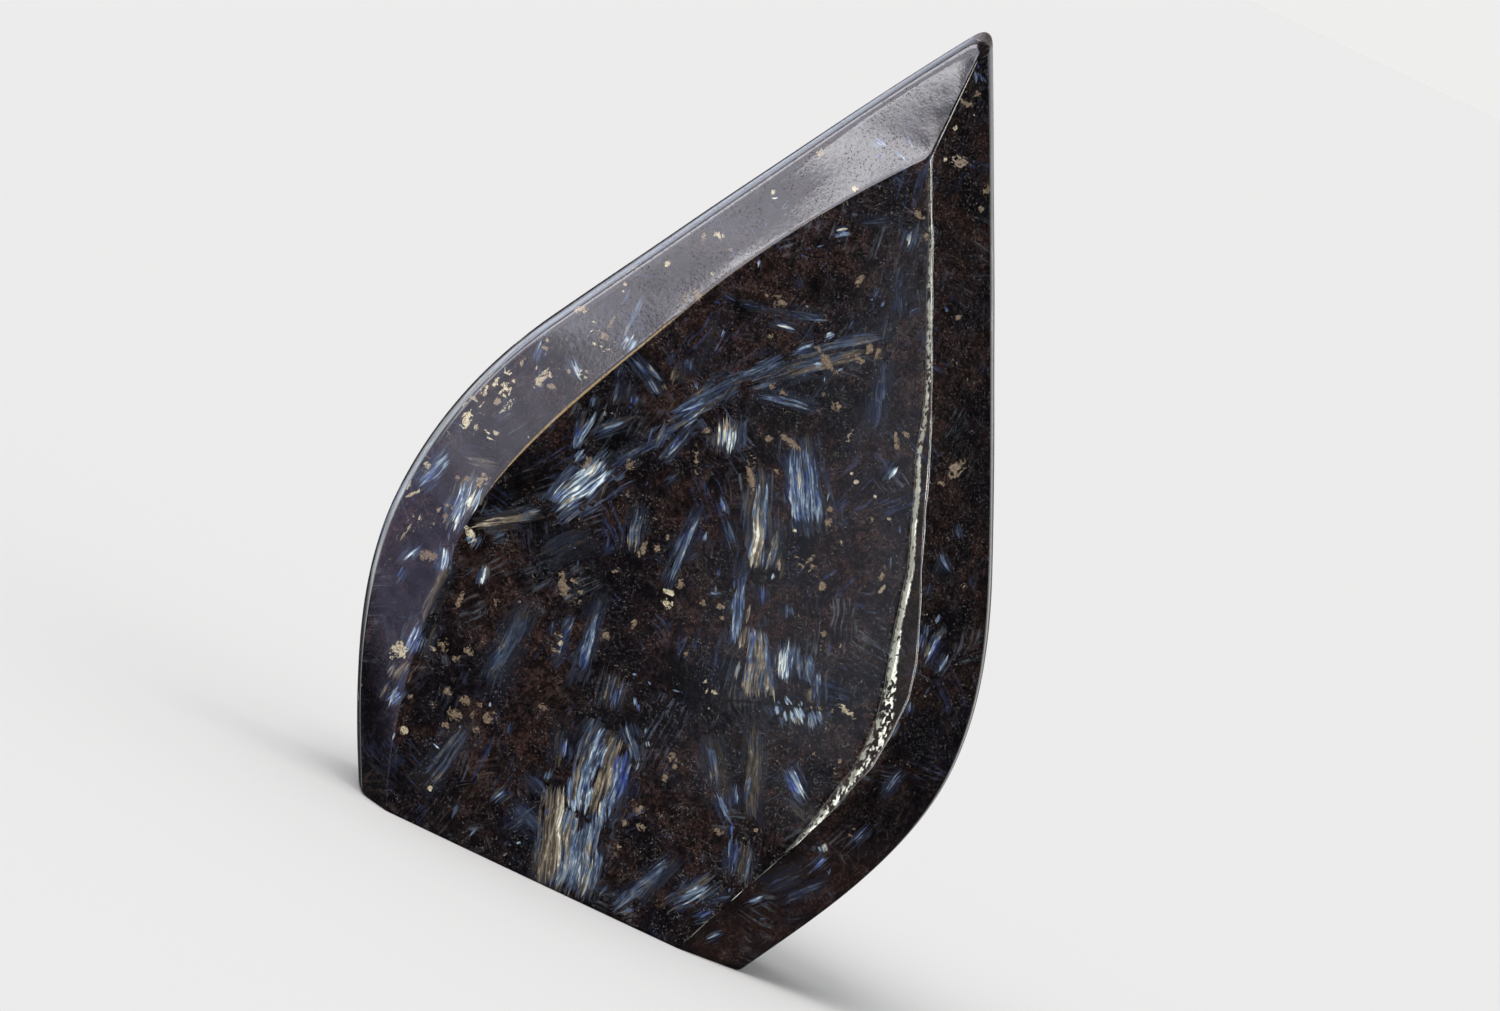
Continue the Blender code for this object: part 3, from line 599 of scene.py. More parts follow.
    (-16.2, 57.2, -16.2, 51.8, 0.55, 0.55, 0.35), (-15.9, 52.4, -15.9, 50.8, 0.65, 0.6, 0.3),
    (-17.4, 57.6, -17.8, 54.3, 0.5, 0.3, 0.0), (-15.2, 55.6, -15.0, 52.4, 0.5, 0.35, 0.05),
    (-17.1, 57.8, -17.0, 56.9, 0.15, 0.8, 0.5), (-19.5, 56.1, -19.0, 51.4, 0.5, 0.25, 0.0),
    (-21.7, 52.1, -20.8, 50.1, 0.35, 0.38, 0.3), (-21.0, 49.8, -20.1, 48.7, 0.3, 0.38, 0.25),
    (-20.7, 48.2, -18.1, 46.4, 0.35, 0.72, 0.3), (-23.5, 50.1, -23.4, 48.3, 0.35, 0.45, 0.1),
    (-23.5, 48.1, -22.9, 45.8, 0.6, 0.45, 0.05), (-22.6, 47.6, -22.4, 46.9, 0.22, 0.65, 0.0),
    (-22.4, 46.1, -21.8, 44.4, 0.4, 0.35, 0.1), (-25.9, 46.0, -25.8, 42.5, 0.4, 0.3, 0.1),
    (-24.0, 42.4, -23.8, 38.5, 0.5, 0.3, 0.02), (-19.1, 42.6, -19.3, 40.4, 0.4, 0.3, 0.5),
    (-10.2, 71.2, -7.2, 70.0, 0.9, 0.3, 0.3), (-8.9, 71.1, -8.1, 71.6, 0.22, 0.75, 0.2),
    (-7.3, 71.6, -7.5, 70.4, 0.3, 0.45, 0.2), (-7.0, 71.6, -7.3, 70.4, 0.22, 0.45, 0.2),
    (-8.3, 68.9, -8.1, 68.2, 0.22, 0.7, 0.1), (-7.4, 65.4, -7.2, 64.4, 0.28, 0.8, 0.0),
    (-2.6, 80.9, -0.4, 80.7, 0.7, 0.9, 0.12), (-0.5, 81.1, 2.1, 80.4, 0.3, 0.6, 0.12),
    (-1.7, 79.8, 0.1, 79.6, 0.3, 0.6, 0.12), (0.3, 83.1, 2.0, 81.7, 0.3, 0.5, 0.15),
)

# Chips of tan mineral: (x, z), width and height, how far it leans, and from 0, dull, to 1, cream.
FLECKS = (
    (-26.7, 39.3, 1.7, 3.6, -7, 1.0), (-25.0, 42.2, 2.0, 3.2, -27, 1.0), (-27.9, 39.7, 1.5, 1.2, 15, 1.0),
    (-25.6, 37.6, 1.2, 1.0, -25, 1.0), (-23.8, 38.0, 1.4, 1.0, -25, 1.0), (-28.2, 39.0, 0.9, 0.9, -25, 0.9),
    (-21.8, 44.9, 1.1, 2.0, -33, 0.8), (-18.3, 51.4, 2.2, 1.8, 35, 1.0), (-28.9, 32.0, 1.6, 1.2, 25, 0.6),
    (-24.9, 28.1, 1.2, 2.3, 10, 0.7), (-27.3, 25.7, 0.8, 2.6, 15, 0.8), (-29.0, 28.8, 1.2, 1.0, -25, 0.8),
    (-18.2, 47.4, 1.0, 0.9, -25, 0.9), (-22.8, 33.2, 0.9, 1.6, 15, 0.7), (-24.4, 24.1, 1.4, 0.9, -25, 0.6),
    (-23.0, 14.1, 1.2, 1.6, -5, 0.9), (-20.3, 39.2, 0.4, 0.5, -25, 1.0), (-10.4, 27.5, 2.6, 1.6, 35, 0.6),
    (-19.6, 16.6, 1.8, 1.4, 25, 0.7), (-17.1, 16.9, 1.2, 1.6, 25, 0.5), (-9.0, 21.9, 0.9, 1.8, -20, 0.7),
    (-16.3, 12.1, 2.4, 1.4, 35, 0.6), (-12.7, 12.3, 2.4, 1.6, 15, 0.5), (6.3, 16.5, 0.8, 0.8, 0, 0.4),
    (6.8, 15.8, 0.5, 0.5, 0, 0.4), (6.4, 14.3, 0.5, 1.0, 0, 0.3), (5.5, 10.4, 1.0, 0.9, 20, 0.4),
    (4.7, 8.6, 0.7, 0.6, 0, 0.3), (6.4, 9.0, 0.8, 0.7, 0, 0.35), (5.2, 6.2, 0.5, 0.4, 0, 0.3),
    (13.6, 11.8, 0.7, 0.6, 0, 0.3), (-7.6, 15.5, 0.7, 0.6, 0, 0.1), (-1.2, 31.0, 1.1, 1.0, 30, 0.9),
    (-0.9, 30.2, 0.9, 0.8, 0, 0.95), (-0.6, 32.6, 0.7, 0.8, 0, 0.5), (-5.4, 34.2, 0.7, 1.5, 0, 0.5),
    (-4.2, 34.8, 0.8, 0.7, 0, 0.5), (-7.0, 31.0, 0.6, 0.6, 0, 0.4), (-3.0, 26.8, 0.5, 0.9, 0, 0.4),
    (-4.9, 24.7, 0.7, 0.6, 0, 0.4), (-8.9, 22.0, 0.6, 0.5, 0, 0.8), (4.0, 32.2, 0.8, 0.6, 0, 0.5),
    (4.7, 31.2, 0.5, 0.5, 0, 0.4), (2.3, 31.8, 0.5, 0.5, 0, 0.4), (6.0, 24.8, 0.5, 0.4, 0, 0.8),
    (6.5, 24.0, 0.5, 0.5, 0, 0.8), (7.2, 24.2, 0.6, 0.4, 0, 0.8), (9.4, 39.6, 0.9, 0.9, 20, 0.5),
    (10.6, 39.7, 0.8, 1.1, -20, 0.5), (10.1, 40.4, 0.5, 1.0, 30, 0.45), (12.4, 38.4, 0.8, 0.7, 30, 0.5),
    (-3.7, 36.2, 0.4, 0.4, 0, 0.5), (3.0, 26.5, 0.4, 0.4, 0, 0.5), (3.0, 59.0, 2.7, 0.7, 28, 0.4),
    (0.2, 54.3, 1.2, 0.7, 15, 0.5), (-0.8, 54.4, 0.8, 0.6, 0, 0.45), (3.2, 50.1, 2.4, 0.5, 15, 0.5),
    (1.3, 49.5, 0.7, 0.6, 0, 0.5), (1.4, 45.0, 0.6, 3.0, -36, 0.45), (5.8, 55.2, 0.9, 0.9, 0, 0.5),
    (4.6, 54.1, 0.6, 0.5, 0, 0.4), (4.2, 55.8, 0.4, 0.4, 0, 0.4), (8.4, 53.2, 0.4, 1.1, 0, 0.7),
    (12.9, 54.7, 0.4, 1.7, -28, 0.45), (13.4, 55.8, 0.8, 0.4, 20, 0.5), (9.8, 45.2, 0.7, 1.8, 0, 0.45),
    (10.2, 44.5, 0.6, 0.7, 0, 0.45), (11.0, 49.3, 0.4, 0.35, 0, 0.9), (10.2, 49.9, 0.3, 0.3, 0, 1.0),
    (13.3, 48.8, 0.35, 0.25, 30, 1.0), (15.5, 47.4, 0.35, 0.3, 0, 0.8), (14.0, 46.6, 0.4, 0.6, 0, 0.4),
    (12.2, 43.2, 0.3, 0.3, 0, 0.7), (17.3, 41.9, 0.4, 0.8, 0, 0.6), (17.9, 40.6, 0.3, 1.0, 10, 0.7),
    (8.9, 40.0, 0.9, 0.2, 0, 0.4), (15.2, 38.5, 0.35, 0.35, 0, 0.6), (7.5, 42.3, 0.3, 0.3, 0, 1.0),
    (3.3, 46.9, 0.5, 0.4, 0, 0.4), (-4.4, 44.4, 0.4, 2.2, -27, 0.3), (-4.8, 47.5, 0.5, 0.4, 0, 0.3),
    (-19.3, 16.7, 1.0, 0.8, 20, 0.35), (-16.8, 17.2, 0.9, 0.8, 0, 0.3), (-17.4, 16.2, 0.8, 0.7, 0, 0.35),
    (-16.9, 12.9, 0.8, 0.7, 0, 0.3), (-14.9, 12.7, 0.9, 0.8, 0, 0.3), (-15.2, 11.1, 1.5, 0.8, 10, 0.35),
    (-17.7, 11.0, 0.8, 0.7, 0, 0.3), (-19.9, 10.7, 0.6, 0.5, 0, 0.3), (-13.2, 11.8, 1.0, 0.8, 0, 0.35),
    (-12.2, 12.0, 1.1, 0.9, 30, 0.35), (-12.6, 10.7, 0.8, 0.6, 0, 0.3), (-15.6, 9.7, 0.6, 0.5, 0, 0.3),
    (-19.2, 7.4, 0.7, 0.6, 0, 0.8), (-14.3, 3.3, 0.4, 0.4, 0, 1.0), (-24.8, 9.2, 0.3, 0.3, 0, 0.6),
    (-22.9, 3.2, 0.3, 0.3, 0, 0.6), (25.9, 17.6, 0.4, 0.3, 0, 0.5), (25.8, 16.9, 0.4, 0.3, 0, 0.5),
    (16.9, 13.5, 0.4, 0.4, 0, 0.5), (20.0, 28.2, 1.6, 0.5, 15, 0.8), (16.7, 27.1, 0.4, 0.3, 15, 0.5),
    (17.6, 27.3, 0.5, 0.3, 15, 0.5), (18.6, 27.6, 0.4, 0.3, 15, 0.6), (14.5, 34.2, 0.6, 0.5, 0, 0.5),
    (18.8, 25.7, 0.3, 0.3, 0, 0.6), (21.5, 23.4, 0.3, 0.3, 0, 0.6), (18.8, 23.0, 0.3, 0.3, 0, 0.6),
    (30.0, 23.4, 0.3, 0.3, 0, 1.0), (19.6, 54.6, 1.1, 2.0, 10, 0.3), (18.8, 53.0, 0.8, 0.6, 0, 0.25),
    (25.4, 44.4, 0.6, 0.4, 0, 0.2), (4.6, 88.3, 1.1, 0.6, 0, 0.25), (5.3, 89.5, 0.5, 0.6, 0, 0.3),
    (4.7, 85.5, 0.3, 0.5, 20, 0.8), (5.9, 87.4, 0.25, 0.25, 0, 0.9), (6.6, 82.6, 1.5, 1.0, 0, 0.15),
    (5.2, 82.3, 0.3, 0.4, 20, 0.8), (10.3, 81.3, 0.6, 0.9, 20, 0.2), (10.6, 79.3, 0.5, 0.6, 0, 0.25),
    (2.6, 67.6, 0.5, 1.1, 0, 0.35), (5.9, 60.5, 0.9, 0.8, 0, 0.45), (7.3, 61.7, 1.0, 0.9, 0, 0.3),
    (6.4, 61.9, 0.6, 1.2, 0, 0.35), (-3.1, 58.7, 0.6, 0.6, 0, 0.4), (-3.8, 62.3, 1.2, 1.0, 0, 0.2),
    (-5.2, 62.3, 0.3, 0.3, 0, 0.7), (13.2, 68.5, 0.4, 0.8, 0, 0.3), (5.0, 76.2, 1.1, 0.5, 10, 0.45),
    (6.7, 74.6, 0.7, 0.7, 0, 0.6), (-10.2, 41.2, 0.8, 0.8, 0, 0.4), (-14.2, 39.4, 0.6, 1.4, 0, 0.5),
    (-12.2, 58.6, 0.6, 1.2, 0, 0.3), (-20.95, 54.6, 0.5, 1.6, 10, 0.7), (-21.3, 52.7, 1.3, 0.7, -35, 0.75),
    (-19.1, 51.4, 0.5, 0.5, 0, 1.0), (-18.6, 50.5, 0.45, 0.4, 0, 0.9), (-18.1, 51.5, 1.2, 1.2, 0, 0.45),
    (-17.9, 52.9, 0.4, 1.2, 0, 0.4), (-22.9, 48.5, 0.35, 0.4, 0, 0.7), (-22.8, 47.8, 0.5, 0.4, 0, 0.6),
    (-21.7, 45.0, 0.9, 1.9, 20, 0.8), (-24.2, 45.5, 0.3, 0.7, 0, 0.7), (-25.2, 43.4, 0.9, 1.3, 0, 0.95),
    (-25.1, 42.2, 1.5, 1.7, 20, 1.0), (-25.7, 42.4, 0.4, 1.4, 0, 0.95), (-25.3, 40.4, 1.1, 0.8, 15, 0.8),
    (-24.8, 40.8, 0.5, 0.9, 0, 0.7), (-26.5, 39.8, 0.7, 2.9, 5, 1.0), (-26.8, 37.9, 0.7, 1.8, 0, 1.0),
    (-27.6, 40.1, 1.5, 0.5, 10, 0.8), (-28.0, 39.2, 0.7, 1.0, 30, 0.85), (-23.5, 51.0, 0.5, 0.5, 0, 0.6),
    (-19.0, 58.3, 0.6, 0.5, 0, 0.6), (-18.3, 57.0, 0.3, 0.3, 0, 0.8), (-18.2, 56.3, 0.35, 0.3, 0, 0.9),
    (-18.0, 47.7, 0.4, 0.35, 0, 0.7), (-19.7, 46.8, 0.3, 0.3, 0, 0.6), (-20.5, 44.7, 0.8, 0.7, 0, 0.25),
    (-20.5, 39.2, 0.3, 0.3, 0, 0.8), (-25.6, 37.6, 0.6, 0.5, 0, 0.8), (-23.6, 38.1, 0.5, 0.4, 0, 0.8),
    (-29.2, 32.0, 0.5, 0.5, 0, 0.8), (-28.4, 32.0, 0.6, 0.5, 0, 0.8), (-29.1, 29.2, 0.3, 1.7, -15, 0.8),
    (-28.3, 29.0, 0.3, 1.5, 40, 0.8), (-27.4, 26.8, 0.25, 1.2, -15, 0.7),
    (-27.35, 25.3, 0.25, 1.6, 10, 0.7), (-24.6, 28.4, 0.4, 1.2, 0, 0.5), (-25.3, 27.2, 0.5, 0.4, 0, 0.6),
    (-25.0, 32.3, 0.5, 0.4, 0, 0.6), (-24.2, 32.7, 0.4, 0.4, 0, 0.6), (-21.6, 28.0, 1.3, 0.5, 30, 1.0),
    (-10.8, 27.1, 0.8, 1.6, -38, 0.4), (-9.1, 27.5, 0.5, 0.4, 0, 0.6), (-16.4, 23.0, 0.6, 0.6, 0, 0.3),
    (-19.7, 21.6, 0.5, 1.3, 0, 0.25), (-14.3, 24.0, 0.3, 0.3, 0, 0.6), (-12.0, 65.5, 0.9, 0.6, 0, 0.9),
    (-13.2, 64.7, 0.4, 0.7, 0, 0.7), (-6.4, 77.3, 0.5, 0.7, 0, 0.8), (-1.7, 75.7, 0.5, 0.4, 0, 1.0),
    (-8.9, 71.8, 0.3, 0.4, 0, 0.9), (-10.3, 64.7, 0.5, 0.4, 0, 0.6), (-15.4, 60.7, 0.4, 0.5, 0, 0.9),
    (-11.0, 61.8, 0.3, 0.3, 0, 0.9), (-11.4, 59.2, 0.8, 1.2, -30, 0.6),
)

# Where the rock is nearly black, and where it is reddish brown: (x, z) and how far it reaches.
BLACK_PATCHES = (
    (2.5, 57.0, 1.6), (1.5, 52.0, 2.2), (9.0, 42.0, 1.7), (6.9, 37.0, 0.7), (8.7, 27.3, 0.8),
    (4.2, 33.5, 0.6), (-20.5, 27.5, 1.3), (-19.5, 34.0, 2.2), (4.3, 61.0, 1.2), (-11.5, 42.0, 2.8),
    (19.8, 10.5, 2.0), (18.2, 6.0, 1.9), (16.4, 2.5, 1.7), (21.0, 12.8, 1.4), (3.5, 23.6, 1.4),
    (5.6, 24.3, 1.2), (22.8, 33.0, 0.7), (7.5, 57.0, 1.5), (-7.0, 60.0, 1.6), (1.5, 66.0, 1.4),
    (-1.0, 65.0, 1.2),
)
BROWN_PATCHES = (
    (-7.5, 14.0, 3.0), (6.0, 14.0, 3.6), (8.0, 17.0, 2.6), (15.0, 36.5, 4.0), (-8.0, 55.0, 4.4),
    (-8.5, 51.5, 2.6), (-4.5, 64.0, 2.6), (2.6, 69.0, 3.0), (4.5, 71.0, 2.4), (12.0, 46.0, 3.6),
    (20.0, 48.0, 3.0), (13.0, 59.0, 2.4), (-17.0, 40.0, 2.2), (-5.0, 57.5, 2.4), (10.5, 74.0, 3.0),
    (8.5, 84.0, 3.0), (-16.0, 21.0, 3.0), (22.5, 42.5, 2.0), (11.0, 12.0, 3.0), (-10.0, 18.0, 3.0),
    (1.0, 28.0, 3.0), (16.5, 67.0, 2.6), (-21.5, 41.5, 2.6),
)

# The crack that crosses the front.
CRACK = (
    (-4.0, 17.3), (-1.5, 17.9), (1.5, 18.7), (4.5, 21.4), (8.0, 23.9), (11.7, 25.3), (13.9, 26.0),
    (16.5, 26.8), (19.0, 27.8), (23.0, 29.5),
)

# Marks on the sides that the photo doesn't show: a seed, two corners of the rectangle that they lie in, and how
# many sheaves, lone blades and chips it holds.
SEEDED_SIDES = {
    BACK: (31, (-29, 0), (30, 90), 36, 110, 170),
    LEFT: (37, (-8, 0), (8, 90), 9, 24, 30),
    RIGHT: (38, (-8, 0), (8, 90), 9, 24, 30),
    BASE: (34, (-20, -13), (20, 13), 4, 12, 20),
}
# Their ranges. A turn is in radians from upright, as its middle and how far it strays.
BUNDLE_TURNS, BUNDLE_LENGTHS, BUNDLE_SPREADS = (-0.2, 0.5), (3.5, 10), (0.0, 0.5)
BUNDLE_BLADES = (3, 8)
BUNDLE_STRAY, BUNDLE_TWIST = 1.3, 0.1
BLADE_LENGTH_SHARES, BLADE_WIDTHS, BLADE_BRIGHTS = (0.4, 1.0), (0.4, 1.9), (0.3, 1.0)
BLADE_TINTS = (0.08, 0.2, 0.35, 0.6, 0.85)
LONE_TURNS, LONE_LENGTHS, LONE_WIDTHS = (-0.2, 0.8), (0.6, 3.5), (0.18, 0.6)
LONE_BRIGHTS, LONE_TINTS = (0.25, 0.85), (0.0, 0.8)
CHIP_WIDTHS, CHIP_SHAPES, CHIP_LEANS = (-0.6, 0.5), (0.6, 1.8), (-40, 40)
CHIP_TONES = (0.3, 0.4, 0.5, 0.8, 1.0)


def seeded_marks(seed, low, high, sheaves, lone, chips):
    """Blades and chips like the front's, in the rectangle between two corners, from a seed."""
    draw = np.random.default_rng(seed)
    blades = []

    def blade(place, turn, length, width, bright, tint, spread=0.0):
        half = np.array([math.sin(turn), math.cos(turn)]) * length / 2
        blades.append((*(place - half), *(place + half), width, bright, tint, spread))

    for _ in range(sheaves):
        place = draw.uniform(low, high)
        turn = draw.normal(*BUNDLE_TURNS)
        length = draw.uniform(*BUNDLE_LENGTHS)
        spread = draw.uniform(*BUNDLE_SPREADS)
        for _ in range(draw.integers(*BUNDLE_BLADES)):
            offset = np.array([math.cos(turn), -math.sin(turn)]) * draw.normal(0, BUNDLE_STRAY)
            along = np.array([math.sin(turn), math.cos(turn)]) * draw.normal(0, length / 4)
            bright = draw.uniform(*BLADE_BRIGHTS)
            tint = draw.choice(BLADE_TINTS)
            size = length * draw.uniform(*BLADE_LENGTH_SHARES), draw.uniform(*BLADE_WIDTHS)
            lean = turn + draw.normal(0, BUNDLE_TWIST)
            blade(place + offset + along, lean, *size, bright, tint, spread * draw.uniform(0, 0.7))
    for _ in range(lone):
        place = draw.uniform(low, high)
        bright = draw.uniform(*LONE_BRIGHTS)
        turn = draw.normal(*LONE_TURNS)
        size = draw.uniform(*LONE_LENGTHS), draw.uniform(*LONE_WIDTHS)
        blade(place, turn, *size, bright, draw.uniform(*LONE_TINTS))
    flecks = []
    for _ in range(chips):
        width = draw.lognormal(*CHIP_WIDTHS)
        tone = draw.choice(CHIP_TONES)
        place = draw.uniform(low, high)
        height = width * draw.uniform(*CHIP_SHAPES)
        flecks.append((*place, width, height, draw.uniform(*CHIP_LEANS), tone))
    return blades, flecks


# A blade's mark reaches a little past the blade. The broader a blade is, the further down it lies.
BLADE_NUMBERS = 8
MARK_LENGTH = 0.53
MARK_WIDTH = 0.64
BROAD_SINKS = 0.25
# How far a mark's frayed rim can show, as shares of its half length and half width, and of both together.
PAST_END, PAST_SIDE, PAST_BOTH = 1.2, 1.4, 1.3
TINT_SHARE = 0.98  # keeps the fullest tint below the next mark's number

BLADE_LAYERS = 6
FACE_REACH = 0.4  # from a face's middle to its furthest corner
FAR_AWAY = 9.0  # stands for no mark or line nearby
NO_MARK, NO_SIZE = (FAR_AWAY, FAR_AWAY, 0.0), (1.0, 1.0, 0.0)


class Marks:
    """The marks of one side: which of them each face shows, and where its corners lie within them."""

    def __init__(self, centres, halves, leans, spreads, brights, tints):
        self.centres, self.halves, self.leans = centres, halves, leans
        self.spreads, self.brights, self.tints = spreads, brights, tints

    @classmethod
    def of_blades(cls, blades):
        ordered = sorted(blades, key=lambda b: b[5] - BROAD_SINKS * b[4])
        rows = np.array([(*b, 0.0)[:BLADE_NUMBERS] for b in ordered])
        start, end = rows[:, :2], rows[:, 2:4]
        widths, brights, tints, spreads = rows[:, 4:].T
        run = end - start
        halves = np.column_stack([np.linalg.norm(run, axis=1) * MARK_LENGTH, widths * MARK_WIDTH])
        return cls((start + end) / 2, halves, np.arctan2(run[:, 0], run[:, 1]), spreads, brights, tints)

    @classmethod
    def of_flecks(cls, flecks):
        x, z, widths, heights, leans, tones = np.array(flecks).T
        centres, halves = np.column_stack([x, z]), np.column_stack([heights, widths]) / 2
        return cls(centres, halves, np.radians(leans), np.zeros(len(x)), np.ones(len(x)), tones)

    def within(self, which, places):
        """(along, across) of places in marks: from -1 to 1 within a mark."""
        rel = places - self.centres[which]
        lean = self.leans[which]
        long, wide = self.halves[which].T
        along = (rel[:, 0] * np.sin(lean) + rel[:, 1] * np.cos(lean)) / long
        across = (rel[:, 0] * np.cos(lean) - rel[:, 1] * np.sin(lean)) / wide
        return along, across / (1 + self.spreads[which] * np.clip(along, -1, 1))

    def codes(self, which, places):
        """(along, across, code) of places in marks. A code is a number plus the tint as a fraction."""
        return np.column_stack([*self.within(which, places), which + TINT_SHARE * self.tints[which]])

    def owners(self, middles, count):
        """The last marks, up to a count, that cover each face, the topmost first. -1 stands for none."""
        stack = np.full((count, len(middles)), -1)
        for mark in range(len(self.centres)):
            long, wide = self.halves[mark]
            away = np.max(np.abs(middles - self.centres[mark]), axis=1)
            near = np.nonzero(away < PAST_BOTH * (long + wide) + FACE_REACH)[0]
            along, across = np.abs(self.within(np.full(len(near), mark), middles[near]))
            touched = near[(along < PAST_END + FACE_REACH / long) & (across < PAST_SIDE + FACE_REACH / wide)]
            for layer in range(count - 1, 0, -1):
                stack[layer, touched] = stack[layer - 1, touched]
            stack[0, touched] = mark
        return stack


def side_places(points, side):
    """Millimetres across and up on a side, as looked at from the front for the front and the back."""
    axes = {FRONT: (0, 2), BACK: (0, 2), LEFT: (1, 2), RIGHT: (1, 2), BASE: (0, 1)}[side]
    return points[:, axes]


# The picture shows a place on the front a little shifted, larger and turned, because the front leans.
SEEN_TURN = ((1.004, -0.003), (0.003, 1.009))
SEEN_SHIFT = (0.81, -0.58)


def seen(places):
    """Where places on the front show in the picture, in which its blades and chips are placed."""
    return places @ np.array(SEEN_TURN).T + SEEN_SHIFT


# The dull sheaf under a blade: from what length of blade, how far it runs past both ends as a share of the
# blade, and its width, brightness and tint, each as a share of the blade's and a fixed part.
SHEAF_FROM = 1.8
SHEAF_OVERHANG = 0.16
SHEAF_WIDTH = (1.7, 0.7)
SHEAF_BRIGHT = (0.42, 0.0)
SHEAF_TINT = (0.6, 0.12)


def with_sheaves(blades):
    """The blades, and under each longer one a wider sheaf of dull fibres."""
    dull = []
    for x0, z0, x1, z1, *looks, spread in ((*b, 0.0)[:BLADE_NUMBERS] for b in blades):
        if math.hypot(x1 - x0, z1 - z0) < SHEAF_FROM:
            continue
        x_over, z_over = (x1 - x0) * SHEAF_OVERHANG, (z1 - z0) * SHEAF_OVERHANG
        ends = x0 - x_over, z0 - z_over, x1 + x_over, z1 + z_over
        changes = SHEAF_WIDTH, SHEAF_BRIGHT, SHEAF_TINT
        dull.append((*ends, *(look * share + more for look, (share, more) in zip(looks, changes)), spread))
    return dull + list(blades)


def side_marks(side):
    """The blades and flecks of a side."""
    return (BLADES, FLECKS) if side == FRONT else seeded_marks(*SEEDED_SIDES[side])


def patch_field(places, patches):
    """From 0 to 1, how far places lie within soft round patches."""
    field = np.zeros(len(places))
    for x, z, reach in patches:
        away = ((places[:, 0] - x) ** 2 + (places[:, 1] - z) ** 2) / reach**2
        field = np.maximum(field, np.exp(-away))
    return field


def line_distance(places, line):
    """Distance to a line of straight stretches, positive on its left going along it."""
    best = np.full(len(places), FAR_AWAY)
    for a, b in zip(np.array(line[:-1]), np.array(line[1:])):
        run, rel = b - a, places - a
        share = np.clip(rel @ run / (run @ run), 0, 1)
        distance = np.linalg.norm(rel - share[:, None] * run, axis=1)
        left = np.where(run[0] * rel[:, 1] - run[1] * rel[:, 0] < 0, -1.0, 1.0)
        best = np.where(distance < np.abs(best), distance * left, best)
    return best


def corner_attribute(mesh, name, values):
    attribute = mesh.attributes.new(name, "FLOAT_VECTOR", "CORNER")
    attribute.data.foreach_set("vector", np.ascontiguousarray(values, dtype=np.float32).ravel())


# Painted shade darkens the right bevel: from where and over how much, across from the facet and up the stone.
BEVEL_SHADE_ACROSS = (0.0, 1.2)
BEVEL_SHADE_UP = (14.0, 14.0)


def place_marks(mesh, face_sides):
    """Writes where each corner of the mesh lies in the marks, patches and lines that the material draws."""
    corners = mesh_array(mesh.vertices, "co", 3)[mesh_array(mesh.loops, "vertex_index", kind=int)] / MM
    middles = mesh_array(mesh.polygons, "center", 3) / MM
    face_of = np.repeat(np.arange(len(middles)), mesh_array(mesh.polygons, "loop_total", kind=int))
    count = len(corners)
    blades = np.full((BLADE_LAYERS, count, 3), NO_MARK)
    blade_sizes = np.full((BLADE_LAYERS, count, 3), NO_SIZE)
    flecks = np.full((count, 3), NO_MARK)
    rock = np.zeros((count, 3))
    lines = np.full((count, 3), FAR_AWAY)
    for side in (FRONT, BACK, LEFT, RIGHT, BASE):
        faces = np.nonzero(face_sides == side)[0]
        here = np.nonzero(face_sides[face_of] == side)[0]
        rows = np.searchsorted(faces, face_of[here])
        places, face_places = side_places(corners[here], side), side_places(middles[faces], side)
        x, z = places.T
        if side == FRONT:
            places, face_places = seen(places), seen(face_places)
            past_left, past_right = x - facet_left(z), x - facet_right(z)
            # Painted shade on the right bevel, past the facet and above its foot.
            right_bevel_shade = fade_in(past_right, *BEVEL_SHADE_ACROSS) * fade_in(z, *BEVEL_SHADE_UP)
            patches = patch_field(places, BLACK_PATCHES), patch_field(places, BROWN_PATCHES)
            rock[here] = np.column_stack([*patches, right_bevel_shade])
            lines[here] = np.column_stack([past_right, past_left, line_distance(places, CRACK)])
        blade_list, fleck_list = side_marks(side)
        marks = Marks.of_blades(with_sheaves(blade_list))
        for layer, owner in enumerate(marks.owners(face_places, BLADE_LAYERS)):
            which = owner[rows]
            shown = which >= 0
            which, spots = which[shown], here[shown]
            blades[layer, spots] = marks.codes(which, places[shown])
            blade_sizes[layer, spots] = np.column_stack([marks.halves[which], marks.brights[which]])
        marks = Marks.of_flecks(fleck_list)
        which = marks.owners(face_places, 1)[0][rows]
        shown = which >= 0
        flecks[here[shown]] = marks.codes(which[shown], places[shown])
    for layer in range(BLADE_LAYERS):
        corner_attribute(mesh, f"blade_{layer}", blades[layer])
        corner_attribute(mesh, f"blade_size_{layer}", blade_sizes[layer])
    for name, values in (("fleck", flecks), ("rock", rock), ("lines", lines)):
        corner_attribute(mesh, name, values)
    unwrap(mesh, corners, face_sides[face_of])


# How the stone lies flat for its colours: a square of this side, and where on it each side of the stone has
# its origin. The front and back stand side by side, with the base above them and the walls lying over it.
SHEET = 130.0
BASE_SCALE = 0.75
SHEET_PLACES = {
    FRONT: (31.5, 1.0),
    BACK: (97.0, 1.0),
    LEFT: (2.0, 106.6),
    RIGHT: (100.0, 120.0),
    BASE: (65.0, 88.0),
}


def unwrap(mesh, corners, sides):
    """One UV map, each side projected straight on and laid in its own place."""
    x, y, z = corners.T
    flat = {FRONT: (x, z), BACK: (-x, z), LEFT: (z, -y), RIGHT: (-z, y)}
    flat[BASE] = x * BASE_SCALE, y * BASE_SCALE
    spots = np.zeros((len(sides), 2))
    for side, across_up in flat.items():
        here = sides == side
        spots[here] = np.column_stack(across_up)[here] + SHEET_PLACES[side]
    layer = mesh.uv_layers.new(name="OFBake")
    layer.data.foreach_set("uv", (spots / SHEET).astype(np.float32).ravel())


